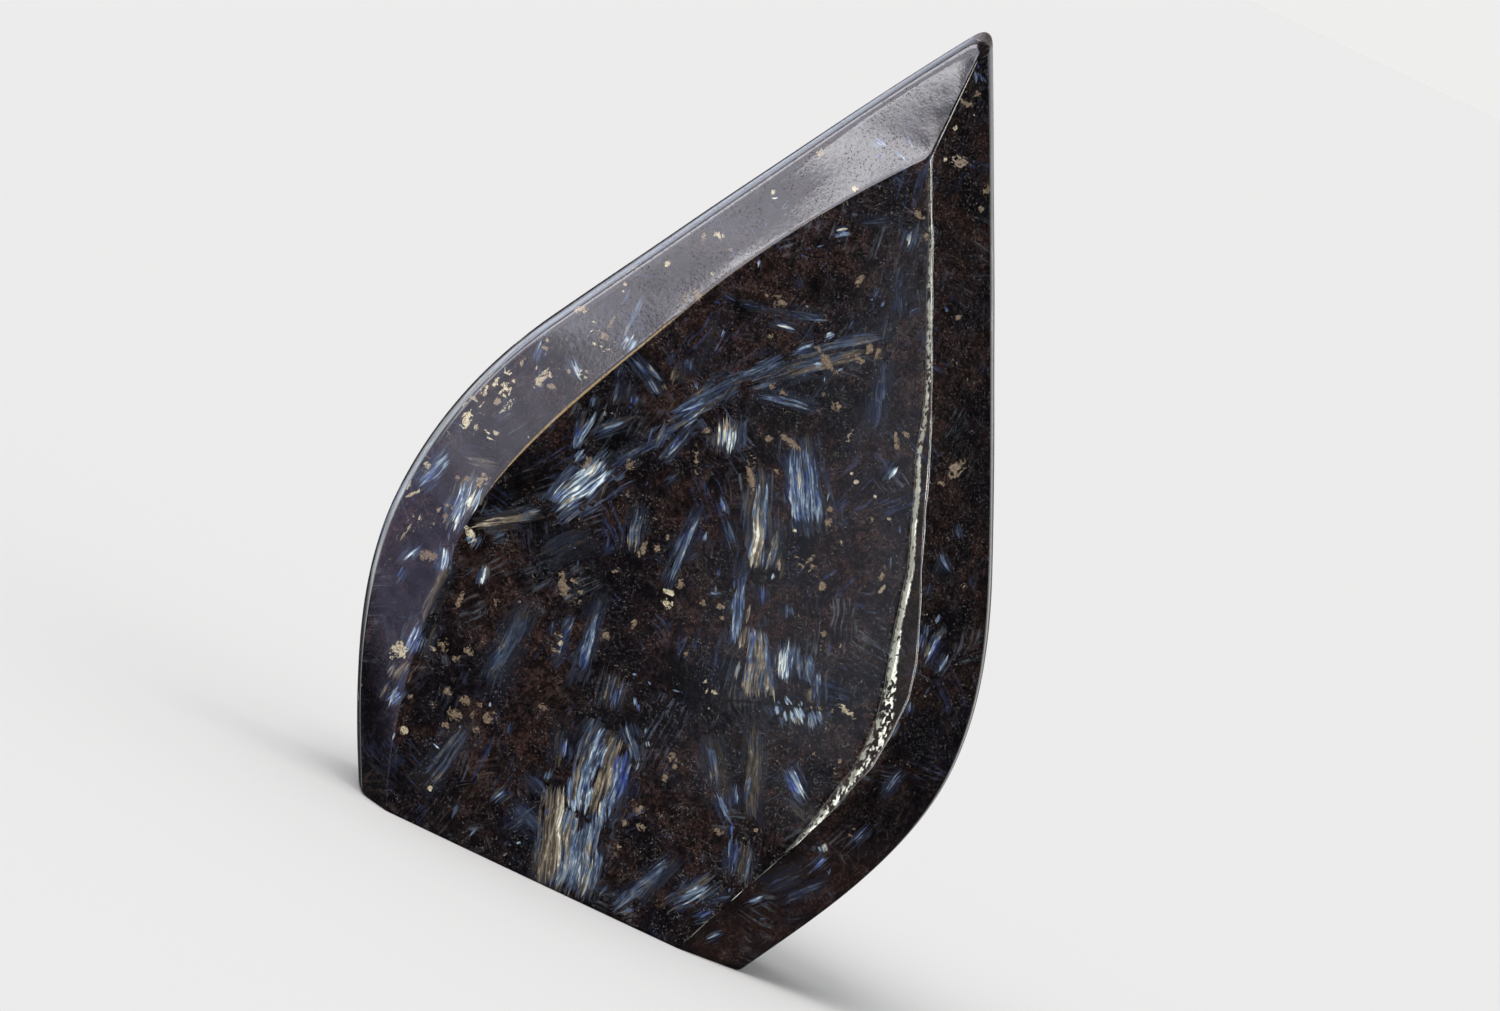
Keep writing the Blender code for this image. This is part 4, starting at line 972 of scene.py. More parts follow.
class Tree:
    """Short ways to add nodes to a node tree. A value is a number, a tuple or another node's output."""

    def __init__(self, tree):
        self.tree = tree

    def put(self, value, socket):
        if isinstance(value, bpy.types.NodeSocket):
            self.tree.links.new(value, socket)
        elif value is not None:
            socket.default_value = value

    def math(self, operation, a, b=None):
        node = self.tree.nodes.new("ShaderNodeMath")
        node.operation = operation
        self.put(a, node.inputs[0])
        self.put(b, node.inputs[1])
        return node.outputs[0]

    def vector(self, operation, a, b=None, scale=None):
        node = self.tree.nodes.new("ShaderNodeVectorMath")
        node.operation = operation
        self.put(a, node.inputs[0])
        self.put(b, node.inputs[1])
        self.put(scale, node.inputs[3])
        return node.outputs["Value"] if operation in ("DOT_PRODUCT", "LENGTH") else node.outputs[0]

    def add(self, a, b):
        return self.math("ADD", a, b)

    def times(self, a, b):
        return self.math("MULTIPLY", a, b)

    def minus(self, a, b):
        return self.math("SUBTRACT", a, b)

    def ramp(self, value, low, high, to_low=0.0, to_high=1.0):
        """A smooth step: to_low below low, and to_high above high."""
        node = self.tree.nodes.new("ShaderNodeMapRange")
        node.interpolation_type = "SMOOTHSTEP"
        for item, socket in zip((value, low, high, to_low, to_high), node.inputs):
            self.put(item, socket)
        return node.outputs[0]

    def mix(self, share, a, b):
        node = self.tree.nodes.new("ShaderNodeMix")
        node.data_type = "RGBA"
        self.put(share, node.inputs[0])
        self.put(a, node.inputs[6])
        self.put(b, node.inputs[7])
        return node.outputs[2]

    def split(self, vector):
        node = self.tree.nodes.new("ShaderNodeSeparateXYZ")
        self.put(vector, node.inputs[0])
        return node.outputs

    def join(self, x, y, z):
        node = self.tree.nodes.new("ShaderNodeCombineXYZ")
        for value, socket in zip((x, y, z), node.inputs):
            self.put(value, socket)
        return node.outputs[0]

    def noise(self, vector, scale, detail=2.0, roughness=0.5, distortion=0.0):
        node = self.tree.nodes.new("ShaderNodeTexNoise")
        node.noise_dimensions = "3D"
        self.put(vector, node.inputs["Vector"])
        node.inputs["Scale"].default_value = scale
        node.inputs["Detail"].default_value = detail
        node.inputs["Roughness"].default_value = roughness
        node.inputs["Distortion"].default_value = distortion
        return node.outputs["Fac"]

    def swing(self, value, size):
        """A noise as a number that swings round zero."""
        return self.times(self.minus(value, 0.5), size)

    def cells(self, vector, scale):
        """A colour for the nearest of many scattered points."""
        node = self.tree.nodes.new("ShaderNodeTexVoronoi")
        self.put(vector, node.inputs["Vector"])
        node.inputs["Scale"].default_value = scale
        return node.outputs["Color"]

    def colours(self, value, *stops):
        """A colour ramp through (place, red, green, blue)."""
        node = self.tree.nodes.new("ShaderNodeValToRGB")
        self.put(value, node.inputs[0])
        elements = node.color_ramp.elements
        for element, (place, *rgb) in zip(elements, stops):
            element.position = place
            element.color = (*rgb, 1)
        for place, *rgb in stops[2:]:
            elements.new(place).color = (*rgb, 1)
        return node.outputs[0]

    def shifts(self, vector, scale):
        """A vector that wanders round zero."""
        node = self.tree.nodes.new("ShaderNodeTexNoise")
        self.put(vector, node.inputs["Vector"])
        node.inputs["Scale"].default_value = scale
        return self.vector("SUBTRACT", node.outputs["Color"], (0.5, 0.5, 0.5))

    def profile(self, value, *stops):
        """A number that changes evenly between (place, number) stops."""
        return self.colours(value, *((place, *(number,) * 3) for place, number in stops))

    def attribute(self, name):
        node = self.tree.nodes.new("ShaderNodeAttribute")
        node.attribute_name = name
        return node.outputs["Vector"]

    def group(self, group, *values):
        node = self.tree.nodes.new("ShaderNodeGroup")
        node.node_tree = group
        for value, socket in zip(values, node.inputs):
            self.put(value, socket)
        return node.outputs


def new_group(name, inputs, outputs):
    """An empty node group with sockets of the kinds given, and its Tree, inputs and output node."""
    group = bpy.data.node_groups.new(name, "ShaderNodeTree")
    for direction, sockets in (("INPUT", inputs), ("OUTPUT", outputs)):
        for socket, kind in sockets:
            group.interface.new_socket(socket, in_out=direction, socket_type=f"NodeSocket{kind}")
    tree = Tree(group)
    given = group.nodes.new("NodeGroupInput")
    result = group.nodes.new("NodeGroupOutput")
    return group, tree, given.outputs, result.inputs


def sheaf_group():
    """Fibres that run one way within each of many cells of a side, and a number for each cell."""
    inputs = [("Place", "Vector"), ("Cells", "Float"), ("Fineness", "Float")]
    group, t, (place, cells, fineness, *_), (strands, tone, *_) = new_group(
        "rock fibres", inputs, [("Strands", "Float"), ("Tone", "Float")]
    )
    bent = t.vector("ADD", place, t.vector("SCALE", t.shifts(place, 0.14), scale=1.9))
    colour = t.cells(t.vector("SCALE", bent, scale=cells), 1.0)
    turn = t.times(t.split(colour)[0], math.pi)
    way = t.join(t.math("COSINE", turn), t.math("SINE", turn), 0.0)
    along = t.times(t.vector("DOT_PRODUCT", bent, way), t.times(fineness, -0.95))
    stretched = t.vector("ADD", t.vector("SCALE", bent, scale=fineness), t.vector("SCALE", way, scale=along))
    moved = t.vector("ADD", stretched, t.vector("SCALE", colour, scale=40.0))
    t.put(t.noise(moved, 1.0, 2.0, 0.5), strands)
    t.put(t.split(colour)[1], tone)
    return group


# A blade's colours from its dark gaps to its brightest glints, as stops of a ramp: (place, red, green, blue).
DEEP_BLUE = (
    (0.0, 0.005, 0.006, 0.011), (0.20, 0.012, 0.017, 0.050), (0.42, 0.033, 0.052, 0.200),
    (0.66, 0.085, 0.140, 0.480), (1.0, 0.34, 0.48, 0.88),
)
STEEL_BLUE = (
    (0.0, 0.006, 0.006, 0.009), (0.20, 0.018, 0.023, 0.036), (0.42, 0.060, 0.084, 0.132),
    (0.66, 0.185, 0.245, 0.315), (0.84, 0.38, 0.46, 0.51), (1.0, 0.66, 0.74, 0.76),
)
PALE_GOLD = (
    (0.0, 0.008, 0.0065, 0.0065), (0.20, 0.026, 0.021, 0.018), (0.42, 0.086, 0.069, 0.050),
    (0.66, 0.235, 0.200, 0.145), (0.84, 0.42, 0.39, 0.31), (1.0, 0.70, 0.70, 0.62),
)


def blade_group():
    """One layer of blades: the colour and cover of the bundle of fibres that a place lies in."""
    inputs = [("Blade", "Vector"), ("Size", "Vector"), ("Place", "Vector")]
    outputs = [("Colour", "Color"), ("Cover", "Float")]
    group, t, given, results = new_group("blade fibres", inputs, outputs)
    blade, size, place, *_ = given
    along, across, code = t.split(blade)
    half_length, half_width, bright = t.split(size)
    index = t.math("FLOOR", code)
    tint = t.math("FRACT", code)
    seed = t.times(index, 7.31)
    run, side = t.times(along, half_length), t.times(across, half_width)
    side = t.add(side, t.swing(t.noise(t.vector("SCALE", place, scale=0.22), 1.0, 1.0), 1.1))
    hairs = t.noise(t.join(t.times(run, 0.28), t.times(side, 4.1), seed), 1.0, 2.0, 0.7)
    strands = t.noise(t.join(t.times(run, 0.17), t.times(side, 1.9), t.add(seed, 40.0)), 1.0, 2.0, 0.5)
    broad = t.noise(t.join(t.times(run, 0.45), t.times(side, 0.8), t.add(seed, 90.0)), 1.0, 2.0, 0.55)
    glints = t.noise(t.join(t.times(run, 1.1), t.times(side, 3.2), t.add(seed, 140.0)), 1.0, 2.0, 0.6)
    fringe = t.noise(t.join(t.times(t.math("SIGN", run), 9.0), t.times(side, 4.0), seed), 1.0, 2.0, 0.75)
    # The ends are frayed over up to 1.8 mm, or most of a short blade.
    fray = t.math("MINIMUM", t.math("DIVIDE", 1.8, half_length), 0.9)
    past_end = t.add(t.math("ABSOLUTE", along), t.times(t.minus(fringe, 0.42), t.times(fray, 2.4)))
    ends = t.ramp(past_end, t.minus(1.0, t.times(fray, 0.8)), 1.12, 0.0, 0.40)
    off_middle = t.math("ABSOLUTE", across)
    sides = t.ramp(t.add(off_middle, t.swing(broad, 1.1)), 0.30, 1.35, 0.0, 0.36)
    # Towards the ends and sides it takes a stronger fibre to show.
    body = t.add(t.times(hairs, 0.45), t.times(strands, 0.55))
    needed = t.add(t.add(0.37, ends), sides)
    cover = t.ramp(t.minus(body, needed), -0.06, 0.10)
    within = t.times(t.ramp(past_end, 1.0, 1.2, 1.0, 0.0), t.ramp(off_middle, 1.1, 1.38, 1.0, 0.0))
    cover = t.times(t.times(cover, within), t.ramp(bright, 0.08, 0.50, 0.45, 0.96))
    shine = t.add(t.times(t.ramp(hairs, 0.34, 0.66), 0.60), t.times(t.ramp(strands, 0.33, 0.67), 0.40))
    shine = t.add(shine, t.times(t.ramp(glints, 0.50, 0.72), 0.42))
    shine = t.times(t.add(0.06, shine), t.add(0.42, t.times(broad, 1.05)))
    level = t.times(bright, shine)
    deep, steel, gold = (t.colours(level, *stops) for stops in (DEEP_BLUE, STEEL_BLUE, PALE_GOLD))
    tinted = tint
    for noise, size in ((strands, 1.9), (glints, 0.7), (broad, 1.2)):
        tinted = t.add(tinted, t.swing(noise, size))
    tinted = t.minus(tinted, t.times(t.math("POWER", off_middle, 3.0), 0.25))
    colour = t.mix(t.ramp(tinted, -0.28, 0.14), deep, steel)
    colour = t.mix(t.ramp(tinted, 0.36, 0.74), colour, gold)
    t.put(colour, results["Colour"])
    t.put(cover, results["Cover"])
    return group


# Colours that mix by noise, each as its darker and its paler end.
BLACK_GROUND = (0.0016, 0.0011, 0.0019, 1), (0.0160, 0.0112, 0.0140, 1)
BROWN_GROUND = (0.0040, 0.0022, 0.0024, 1), (0.0420, 0.0215, 0.0180, 1)
COARSE_FIBRES = (0.036, 0.040, 0.058, 1), (0.056, 0.042, 0.034, 1)
FINE_FIBRES = (0.040, 0.034, 0.044, 1), (0.070, 0.048, 0.036, 1)
WISPS = (0.034, 0.050, 0.112, 1), (0.088, 0.100, 0.118, 1)
TAN_CHIP = (0.085, 0.058, 0.037, 1), (0.225, 0.165, 0.108, 1)
CREAM_CHIP = (0.280, 0.210, 0.130, 1), (0.72, 0.64, 0.45, 1)
GRIT = (0.075, 0.052, 0.034, 1), (0.30, 0.235, 0.16, 1)
TIP_CAP = (0.030, 0.024, 0.024, 1), (0.13, 0.105, 0.10, 1)
RUST_COLOUR = (0.095, 0.062, 0.044, 1)
CRACK_COLOUR = (0.004, 0.0035, 0.005, 1)
# A pale painted highlight, partly chalky wear, for the polished band on the right ridge's facet.
WORN_HIGHLIGHT_COLOUR = (0.62, 0.63, 0.52, 1)


def rock_colour(t, place, flat, rock):
    """The dark ground between the blades: brown-black and grainy, with dull fibres in places, and painted shade
    on the right bevel.
    """
    black_patch, brown_patch, right_bevel_shade = t.split(rock)
    mottle = t.noise(place, 0.34, 4.0, 0.62, 0.4)
    grain = t.noise(place, 2.6, 5.0, 0.76, 0.6)
    brownish = t.add(t.ramp(t.noise(place, 0.15, 3.0, 0.6), 0.44, 0.58), t.times(brown_patch, 0.9))
    reddish = t.times(t.math("MINIMUM", brownish, 1.0), t.ramp(mottle, 0.36, 0.54, 0.25, 1.0))
    dark = t.mix(t.ramp(grain, 0.43, 0.68), *BLACK_GROUND)
    brown = t.mix(t.ramp(grain, 0.38, 0.66), *BROWN_GROUND)
    ground = t.mix(reddish, dark, brown)

    def drifts(offset, scale):
        return t.noise(t.vector("ADD", place, offset), scale, 3.0, 0.6)

    fibres = sheaf_group()
    fibrous = t.ramp(drifts((3.0, 41.0, 8.0), 0.19), 0.47, 0.58, 0.06, 0.60)
    strands, tone = t.group(fibres, flat, 0.19, 3.4)
    dull = t.mix(t.ramp(tone, 0.35, 0.65), *COARSE_FIBRES)
    ground = t.mix(t.times(fibrous, t.ramp(strands, 0.50, 0.74)), ground, dull)
    strands, tone = t.group(fibres, t.vector("ADD", flat, (231.0, 17.0, 0.0)), 0.40, 4.6)
    dull = t.mix(t.ramp(tone, 0.4, 0.6), *FINE_FIBRES)
    ground = t.mix(t.times(fibrous, t.ramp(strands, 0.54, 0.74, 0.0, 0.8)), ground, dull)
    # Wisps of finer blue-grey fibres, in drifts of their own.
    drift = t.ramp(drifts((19.0, 0.0, 5.0), 0.16), 0.47, 0.62)
    strands, tone = t.group(fibres, t.vector("ADD", flat, (71.0, 337.0, 0.0)), 0.12, 3.0)
    wisp = t.mix(t.ramp(tone, 0.30, 0.55), *WISPS)
    ground = t.mix(t.times(drift, t.ramp(strands, 0.50, 0.74, 0.0, 0.80)), ground, wisp)
    # Rusty specks in the brown places.
    rust = t.ramp(t.noise(place, 3.4, 3.0, 0.75), 0.59, 0.70, 0.0, 0.8)
    ground = t.mix(t.times(reddish, rust), ground, RUST_COLOUR)
    shade = t.ramp(t.noise(place, 0.8, 3.0, 0.65), 0.34, 0.66, 0.45, 1.35)
    # Painted shade on the right bevel.
    shade = t.times(shade, t.minus(1.0, t.times(right_bevel_shade, 0.30)))
    dimmed = t.times(shade, t.minus(1.0, t.times(t.math("MINIMUM", black_patch, 1.0), 0.85)))
    return t.vector("SCALE", ground, scale=dimmed)


def fleck_cover(t, place, fleck):
    """How much of a place the chips cover, and their colour."""
    along, across, code = t.split(fleck)
    tone = t.math("FRACT", code)
    ragged = t.noise(place, 1.35, 5.0, 0.74, 1.1)
    away = t.vector("LENGTH", t.join(along, across, 0.0))
    cover = t.ramp(t.add(t.times(away, 0.80), t.swing(ragged, 6.2)), 0.66, 0.82, 1.0, 0.0)
    cover = t.times(cover, t.ramp(away, 1.35, 1.6, 1.0, 0.0))
    speckle = t.noise(place, 5.0, 2.0, 0.7)
    tan = t.mix(t.ramp(speckle, 0.35, 0.62), *TAN_CHIP)
    cream = t.mix(t.ramp(speckle, 0.34, 0.58), *CREAM_CHIP)
    return cover, t.mix(t.ramp(tone, 0.55, 1.0), tan, cream)


def grit_cover(t, place):
    """How much of a place loose grit covers, in swarms, and its colour."""
    swarm = t.ramp(t.noise(t.vector("ADD", place, (9.0, 4.0, 7.0)), 0.22, 2.0), 0.48, 0.66)
    spots = t.add(t.noise(place, 2.1, 4.0, 0.78, 0.8), t.times(swarm, 0.075))
    return t.ramp(spots, 0.700, 0.735), t.mix(t.ramp(t.noise(place, 0.9, 1.0), 0.40, 0.62), *GRIT)


# The polished band on the worn facet, which also takes a pale painted highlight, by the share of 100 mm up: its
# width, and how much of it is missing.
BAND_WIDTHS = (
    (0.0, 0.0), (0.14, 0.12), (0.17, 0.55), (0.22, 1.05), (0.26, 1.50), (0.30, 1.45), (0.34, 0.85),
    (0.38, 0.56), (0.50, 0.44), (0.57, 0.32), (0.66, 0.34), (0.76, 0.30), (0.82, 0.14),
)
BAND_GAPS = (
    (0.0, 0.45), (0.14, 0.42), (0.19, 0.49), (0.26, 0.53), (0.31, 0.52), (0.36, 0.40), (0.50, 0.37),
    (0.57, 0.44), (0.64, 0.50), (0.74, 0.47), (0.82, 0.44),
)


def ridge_wear_and_highlight(t, place, height, lines):
    """How much of a place lies on the facet of the front's right ridge, and how much of it is polished. The
    polished part also takes a pale painted highlight, partly wear.
    """
    past_right, past_left, _ = t.split(lines)
    share = t.math("DIVIDE", height, 100.0)
    on_facet = t.times(t.ramp(past_left, -0.34, -0.12), t.ramp(past_right, -0.20, -0.08, 1.0, 0.0))
    on_facet = t.times(on_facet, t.ramp(height, 12.8, 14.0))
    on_facet = t.times(on_facet, t.ramp(height, 80.5, 82.0, 1.0, 0.0))
    width = t.profile(share, *BAND_WIDTHS)
    depth = t.math("MINIMUM", t.add(past_left, 0.14), t.minus(width, past_left))
    band = t.ramp(t.add(depth, t.swing(t.noise(place, 1.6, 4.0, 0.72), 0.8)), -0.04, 0.16)
    lace = t.noise(t.vector("MULTIPLY", place, (1.0, 1.0, 0.55)), 2.6, 3.0, 0.62)
    lace = t.ramp(t.minus(lace, t.profile(share, *BAND_GAPS)), -0.015, 0.03)
    threads = t.noise(t.vector("MULTIPLY", place, (2.2, 1.0, 0.7)), 4.0, 3.0, 0.6)
    threads = t.ramp(threads, 0.36, 0.56, 0.72, 1.0)
    return on_facet, t.times(t.times(band, lace), t.times(threads, t.ramp(height, 13.5, 14.0)))


def surface_bump(t, place, height, cap):
    """Tiny pits and the faint grain of a hand polish, as heights in millimetres."""
    high = t.ramp(height, 44.0, 60.0, 0.35, 1.0)
    clusters = t.ramp(t.noise(place, 0.45, 2.0), 0.42, 0.62, 0.1, 1.0)
    pits = t.ramp(t.noise(place, 4.6, 3.0, 0.65), 0.60, 0.67, 0.0, -0.034)
    pits = t.times(pits, t.times(high, clusters))
    grain = t.times(t.noise(place, 1.8, 4.0, 0.62), t.times(high, 0.012))
    rough_cap = t.times(cap, t.times(t.noise(place, 2.6, 3.0, 0.7), 0.16))
    node = t.tree.nodes.new("ShaderNodeBump")
    node.inputs["Strength"].default_value = 1.0
    node.inputs["Distance"].default_value = MM
    t.put(t.add(t.add(pits, grain), rough_cap), node.inputs["Height"])
    return node.outputs[0]


CAP_FROM, CAP_FULL = 93.9, 94.4  # the heights between which the tip's rough end begins
BLADE_GAIN = 1.3
# How strongly the band's pale painted highlight lies over the rock.
WORN_HIGHLIGHT_SHARE = 0.50
POLISH_ROUGHNESS, BLADE_ROUGHNESS, CAP_ROUGHNESS = 0.045, 0.10, 0.5
CHIP_ROUGHER = 0.25
BAND_POLISH = 0.94
STONE_IOR = 1.6


def stone_material():
    material = bpy.data.materials.new("astrophyllite")
    material.use_nodes = True
    tree = material.node_tree
    shader = tree.nodes["Principled BSDF"]
    t = Tree(tree)
    place = t.vector("SCALE", tree.nodes.new("ShaderNodeTexCoord").outputs["Object"], scale=1 / MM)
    height = t.split(place)[2]
    lines = t.attribute("lines")
    sheet = tree.nodes.new("ShaderNodeUVMap")
    sheet.uv_map = "OFBake"
    flat = t.vector("SCALE", sheet.outputs[0], scale=SHEET)
    colour = rock_colour(t, place, flat, t.attribute("rock"))
    grit, grit_colour = grit_cover(t, place)
    colour = t.mix(grit, colour, grit_colour)
    group = blade_group()
    bladed = 0.0
    for layer in reversed(range(BLADE_LAYERS)):
        blade, size = t.attribute(f"blade_{layer}"), t.attribute(f"blade_size_{layer}")
        blade_colour, cover = t.group(group, blade, size, place)
        colour = t.mix(cover, colour, t.vector("SCALE", blade_colour, scale=BLADE_GAIN))
        bladed = t.math("MAXIMUM", bladed, cover)

    crack = t.add(t.split(lines)[2], t.swing(t.noise(place, 0.9, 3.0, 0.6), 0.8))
    colour = t.mix(t.ramp(t.math("ABSOLUTE", crack), 0.07, 0.20, 0.85, 0.0), colour, CRACK_COLOUR)
    chips, chip_colour = fleck_cover(t, place, t.attribute("fleck"))
    colour = t.mix(chips, colour, chip_colour)
    on_facet, polished = ridge_wear_and_highlight(t, place, height, lines)
    # The polished band is painted pale at half strength: a painted highlight along the ridge, partly wear.
    colour = t.mix(t.times(t.times(on_facet, polished), WORN_HIGHLIGHT_SHARE), colour, WORN_HIGHLIGHT_COLOUR)
    cap = t.ramp(height, CAP_FROM, CAP_FULL)
    cap_colour = t.mix(t.ramp(t.noise(place, 3.0, 3.0, 0.7), 0.40, 0.60), *TIP_CAP)
    colour = t.mix(cap, colour, cap_colour)

    rough = t.add(POLISH_ROUGHNESS, t.times(t.math("MAXIMUM", chips, grit), CHIP_ROUGHER))
    unpolished = t.times(on_facet, t.minus(1.0, t.times(polished, BAND_POLISH)))
    for rougher in (t.times(bladed, BLADE_ROUGHNESS), unpolished, t.times(cap, CAP_ROUGHNESS)):
        rough = t.math("MAXIMUM", rough, rougher)
    t.put(colour, shader.inputs["Base Color"])
    t.put(rough, shader.inputs["Roughness"])
    t.put(surface_bump(t, place, height, cap), shader.inputs["Normal"])
    shader.inputs["IOR"].default_value = STONE_IOR
    return material


def make_stone():
    mesh, face_sides = stone_mesh()
    make_wavy(mesh)
    place_marks(mesh, face_sides)
    mesh.materials.append(stone_material())
    stone = bpy.data.objects.new("stone_flame", mesh)
    bpy.context.scene.collection.objects.link(stone)
    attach(stone, "root")
    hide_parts("flame")


# The stage: one wide pale floor, whose half side is in metres, under a world of nearly the same colour.
FLOOR_HALF = 40.0
FLOOR_COLOUR = (0.755, 0.735, 0.715, 1)
FLOOR_ROUGHNESS = 0.9
BACKDROP_COLOUR = (0.86, 0.86, 0.85, 1)
SOFT_COLOUR, SOFT_LIGHT = (0.93, 0.96, 1.0, 1), 0.75
SUN_LIGHT = 1.6
SUN_AZIMUTH, SUN_ELEVATION = -35.0, 55.0
SUN_SIZE = 40.0  # degrees across


def make_floor():
    mesh = bpy.data.meshes.new("floor")
    corners = [(-1, -1), (1, -1), (1, 1), (-1, 1)]
    mesh.from_pydata([(x * FLOOR_HALF, y * FLOOR_HALF, 0.0) for x, y in corners], [], [(0, 1, 2, 3)])
    material = bpy.data.materials.new("pale_floor")
    material.use_nodes = True
    shader = material.node_tree.nodes["Principled BSDF"]
    shader.inputs["Base Color"].default_value = FLOOR_COLOUR
    shader.inputs["Roughness"].default_value = FLOOR_ROUGHNESS
    shader.inputs["Specular IOR Level"].default_value = 0.0
    mesh.materials.append(material)
    floor = bpy.data.objects.new("floor", mesh)
    bpy.context.scene.collection.objects.link(floor)
    floor.visible_glossy = False


# What the polish reflects, in degrees: azimuth 0 is in front of the stone, and 90 is to its right.
# Each soft card gives its azimuths, its elevations, how soft both ends are, its colour and its strength.
CARDS = (
    ("left bevel, foot", (-118, -30), (-16, 60), (16, 14), (0.61, 0.58, 0.92), 0.98),
    ("left bevel, middle", (-118, -30), (9, 60), (14, 12), (0.94, 0.96, 0.98), 0.86),
    ("left bevel, top", (-118, -30), (27, 60), (14, 3), (1.00, 0.98, 1.03), 2.2),
    ("gold line on the left ridge", (-34, -17), (11.5, 20.0), (5, 3), (1.00, 0.72, 0.36), 7.0),
    ("left outer edge", (-114, -86), (12, 60), (8, 8), (1.00, 0.98, 1.00), 3.4),
    ("left wall", (-169, -126), (4, 60), (6, 10), (0.86, 0.92, 1.08), 1.5),
    ("left rim at the foot", (-168, -126), (-14, 4), (8, 4), (0.90, 0.94, 1.00), 0.9),
    ("haze by the right ridge", (4.5, 11.5), (3.5, 40), (6, 3), (0.85, 0.93, 1.15), 0.40),
    ("band on the right ridge", (22.5, 33), (-4, 29), (2.5, 3), (0.98, 1.00, 0.90), 19.0),
    ("line beyond the right ridge", (43.5, 50), (-4, 29), (2, 3), (0.98, 1.00, 1.00), 9.5),
    ("right rim", (120, 166), (-14, 26), (14, 8), (1.00, 1.00, 1.00), 0.85),
    ("low warm bounce", (60, 100), (-34, -14), (10, 8), (1.00, 0.58, 0.52), 0.08),
)
# Frost by the left ridge: everything past a slanting edge, as azimuth less a share of elevation. Over the
# azimuths and elevations that follow, it dims to a share, ends, and begins above its foot.
FROST_SLANT = 0.4
FROST_EDGE = (-65.6, -62.4)
FROST_DIMS, FROST_DIMMED = (-46.0, -40.0), 0.6
FROST_ENDS = (-30.0, -24.0)
FROST_FOOT = (23.5, 27.5)
FROST_STRENGTH = 5.0
AMBIENT_GLOSS = (0.03, 0.03, 0.033)
CARD_WOBBLE = 4.4  # degrees from one extreme to the other


def card_share(t, angles, spans, soft):
    """How much of a card's light comes from a direction."""
    share = 1.0
    for value, (low, high), ease in zip(angles, spans, soft):
        rise = t.ramp(value, low - ease / 2, low + ease / 2)
        fall = t.ramp(value, high - ease / 2, high + ease / 2, 1.0, 0.0)
        share = t.times(share, t.times(rise, fall))
    return share


def frost_share(t, azimuth, elevation):
    """How much of the frost's light comes from a direction."""
    share = t.ramp(t.minus(azimuth, t.times(elevation, FROST_SLANT)), *FROST_EDGE)
    share = t.times(share, t.ramp(azimuth, *FROST_DIMS, 1.0, FROST_DIMMED))
    share = t.times(share, t.ramp(azimuth, *FROST_ENDS, 1.0, 0.0))
    return t.times(share, t.ramp(elevation, *FROST_FOOT))


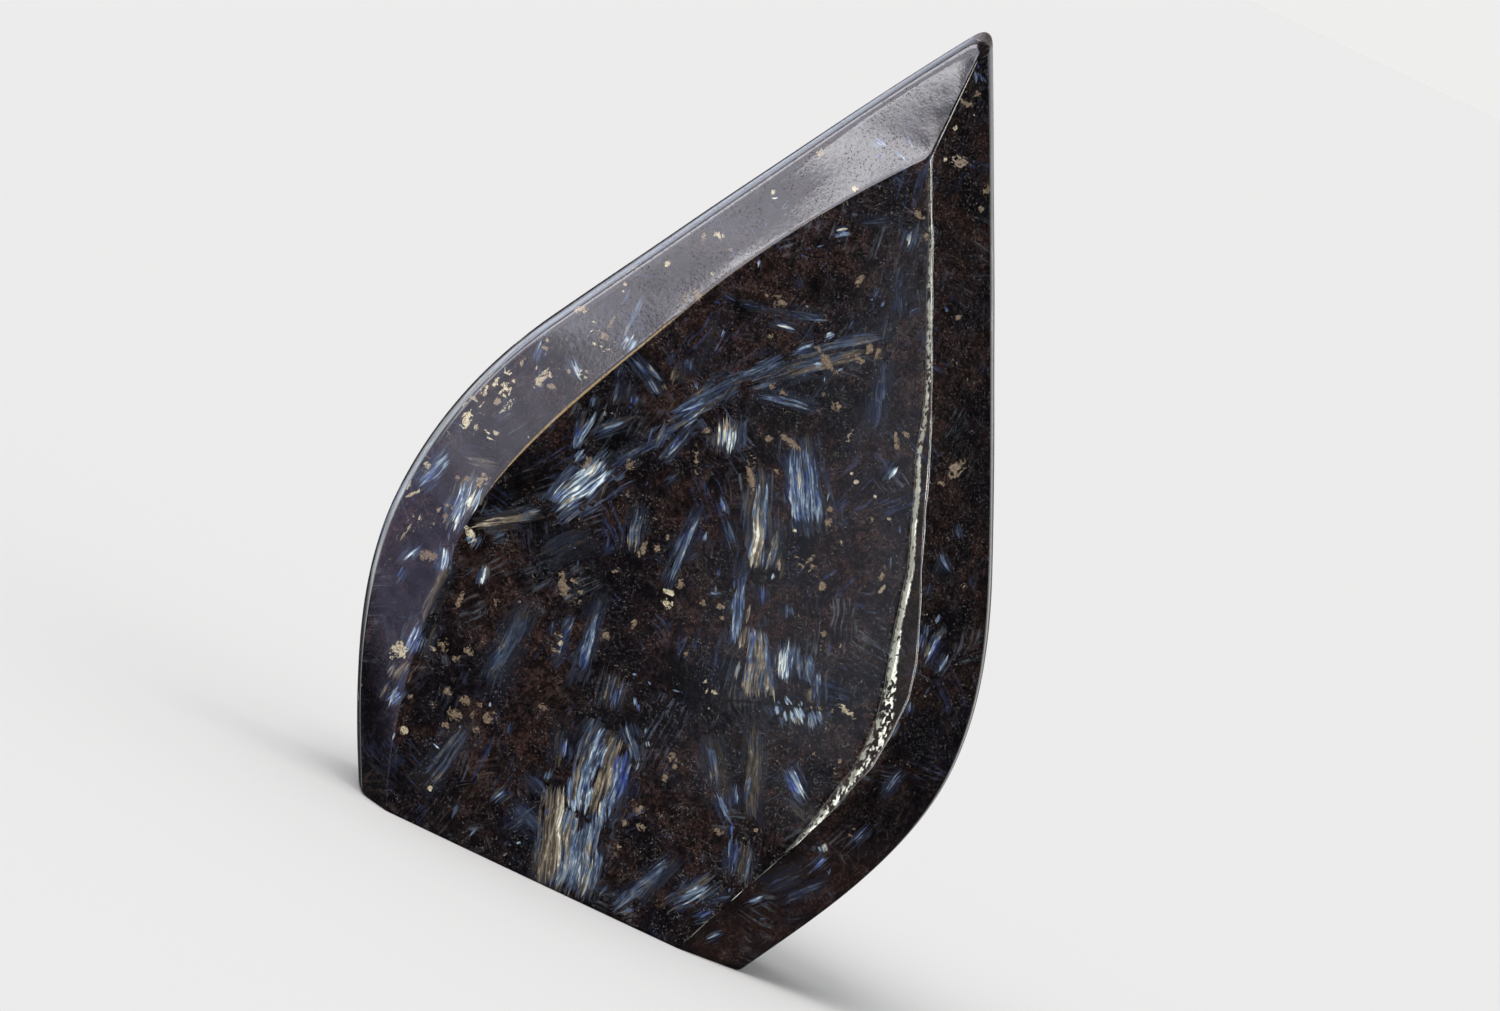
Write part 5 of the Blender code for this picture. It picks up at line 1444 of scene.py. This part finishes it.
def make_world():
    """Pale to the camera, soft light for the colours, and dark with cards of light for the reflections."""
    world = bpy.data.worlds.new("studio")
    bpy.context.scene.world = world
    world.use_nodes = True
    tree = world.node_tree
    tree.nodes.clear()
    t = Tree(tree)
    direction = tree.nodes.new("ShaderNodeTexCoord").outputs["Generated"]
    x, y, z = t.split(direction)
    wobble = t.swing(t.noise(direction, 9.0, 3.0, 0.6), CARD_WOBBLE)
    azimuth = t.add(t.math("DEGREES", t.math("ARCTAN2", x, t.times(y, -1.0))), wobble)
    elevation = t.add(t.math("DEGREES", t.math("ARCSINE", z)), wobble)
    uneven = t.ramp(t.noise(direction, 34.0, 4.0, 0.7), 0.34, 0.66, 0.55, 1.45)
    shines = [((1.0, 1.0, 1.0), FROST_STRENGTH, frost_share(t, azimuth, elevation))]
    for _, azimuths, elevations, soft, colour, strength in CARDS:
        shines.append((colour, strength, card_share(t, (azimuth, elevation), (azimuths, elevations), soft)))
    light = AMBIENT_GLOSS
    for colour, strength, share in shines:
        shine = tuple(c * strength for c in colour)
        light = t.vector("ADD", light, t.vector("SCALE", shine, scale=t.times(share, uneven)))

    def background(colour, strength):
        node = tree.nodes.new("ShaderNodeBackground")
        t.put(colour, node.inputs["Color"])
        node.inputs["Strength"].default_value = strength
        return node.outputs[0]

    def chosen(share, first, second):
        node = tree.nodes.new("ShaderNodeMixShader")
        for value, socket in zip((share, first, second), node.inputs):
            t.put(value, socket)
        return node.outputs[0]

    path = tree.nodes.new("ShaderNodeLightPath").outputs
    shown = chosen(path["Is Glossy Ray"], background(SOFT_COLOUR, SOFT_LIGHT), background(light, 1.0))
    shown = chosen(path["Is Camera Ray"], shown, background(BACKDROP_COLOUR, 1.0))
    t.put(shown, tree.nodes.new("ShaderNodeOutputWorld").inputs["Surface"])


def direction_to(azimuth, elevation):
    """The way from the stone towards a place: azimuth 0 is in front of it and 90 to its right."""
    a, e = math.radians(azimuth), math.radians(elevation)
    return Vector((math.sin(a) * math.cos(e), -math.cos(a) * math.cos(e), math.sin(e)))


def make_sun():
    data = bpy.data.lights.new("key_sun", "SUN")
    data.energy = SUN_LIGHT
    data.angle = math.radians(SUN_SIZE)
    light = bpy.data.objects.new("key_sun", data)
    light.rotation_mode = "QUATERNION"
    light.rotation_quaternion = direction_to(SUN_AZIMUTH, SUN_ELEVATION).to_track_quat("Z", "Y")
    light.visible_glossy = False
    bpy.context.scene.collection.objects.link(light)


# The camera looks at the front from a little to the left and above, rolled as the photo shows the stone.
PHOTO_WIDTH = 1500
PHOTO_PER_MM = 10.0
PHOTO_ROLL = 25.6
CAMERA_AZIMUTH, CAMERA_ELEVATION = -3.0, 4.0
CAMERA_DISTANCE = 1.0
AIM = (1.95, -5.0, 42.45)
SENSOR = 36.0
FAR_CLIP = 200.0


def make_camera():
    data = bpy.data.cameras.new("camera")
    data.sensor_width = SENSOR
    seen_width = PHOTO_WIDTH / PHOTO_PER_MM * MM
    data.lens = SENSOR * CAMERA_DISTANCE / seen_width
    data.clip_end = FAR_CLIP
    camera = bpy.data.objects.new("camera", data)
    towards = direction_to(CAMERA_AZIMUTH, CAMERA_ELEVATION)
    upright = towards.to_track_quat("Z", "Y").to_matrix()
    rolled = upright @ Matrix.Rotation(math.radians(PHOTO_ROLL), 3, "Z")
    camera.rotation_mode = "QUATERNION"
    camera.rotation_quaternion = rolled.to_quaternion()
    camera.location = Vector(AIM) * MM + towards * CAMERA_DISTANCE
    bpy.context.scene.collection.objects.link(camera)
    bpy.context.scene.camera = camera


make_stone()
make_floor()
make_world()
make_sun()
make_camera()
bpy.context.scene.view_settings.view_transform = "Standard"
bpy.context.view_layer.update()
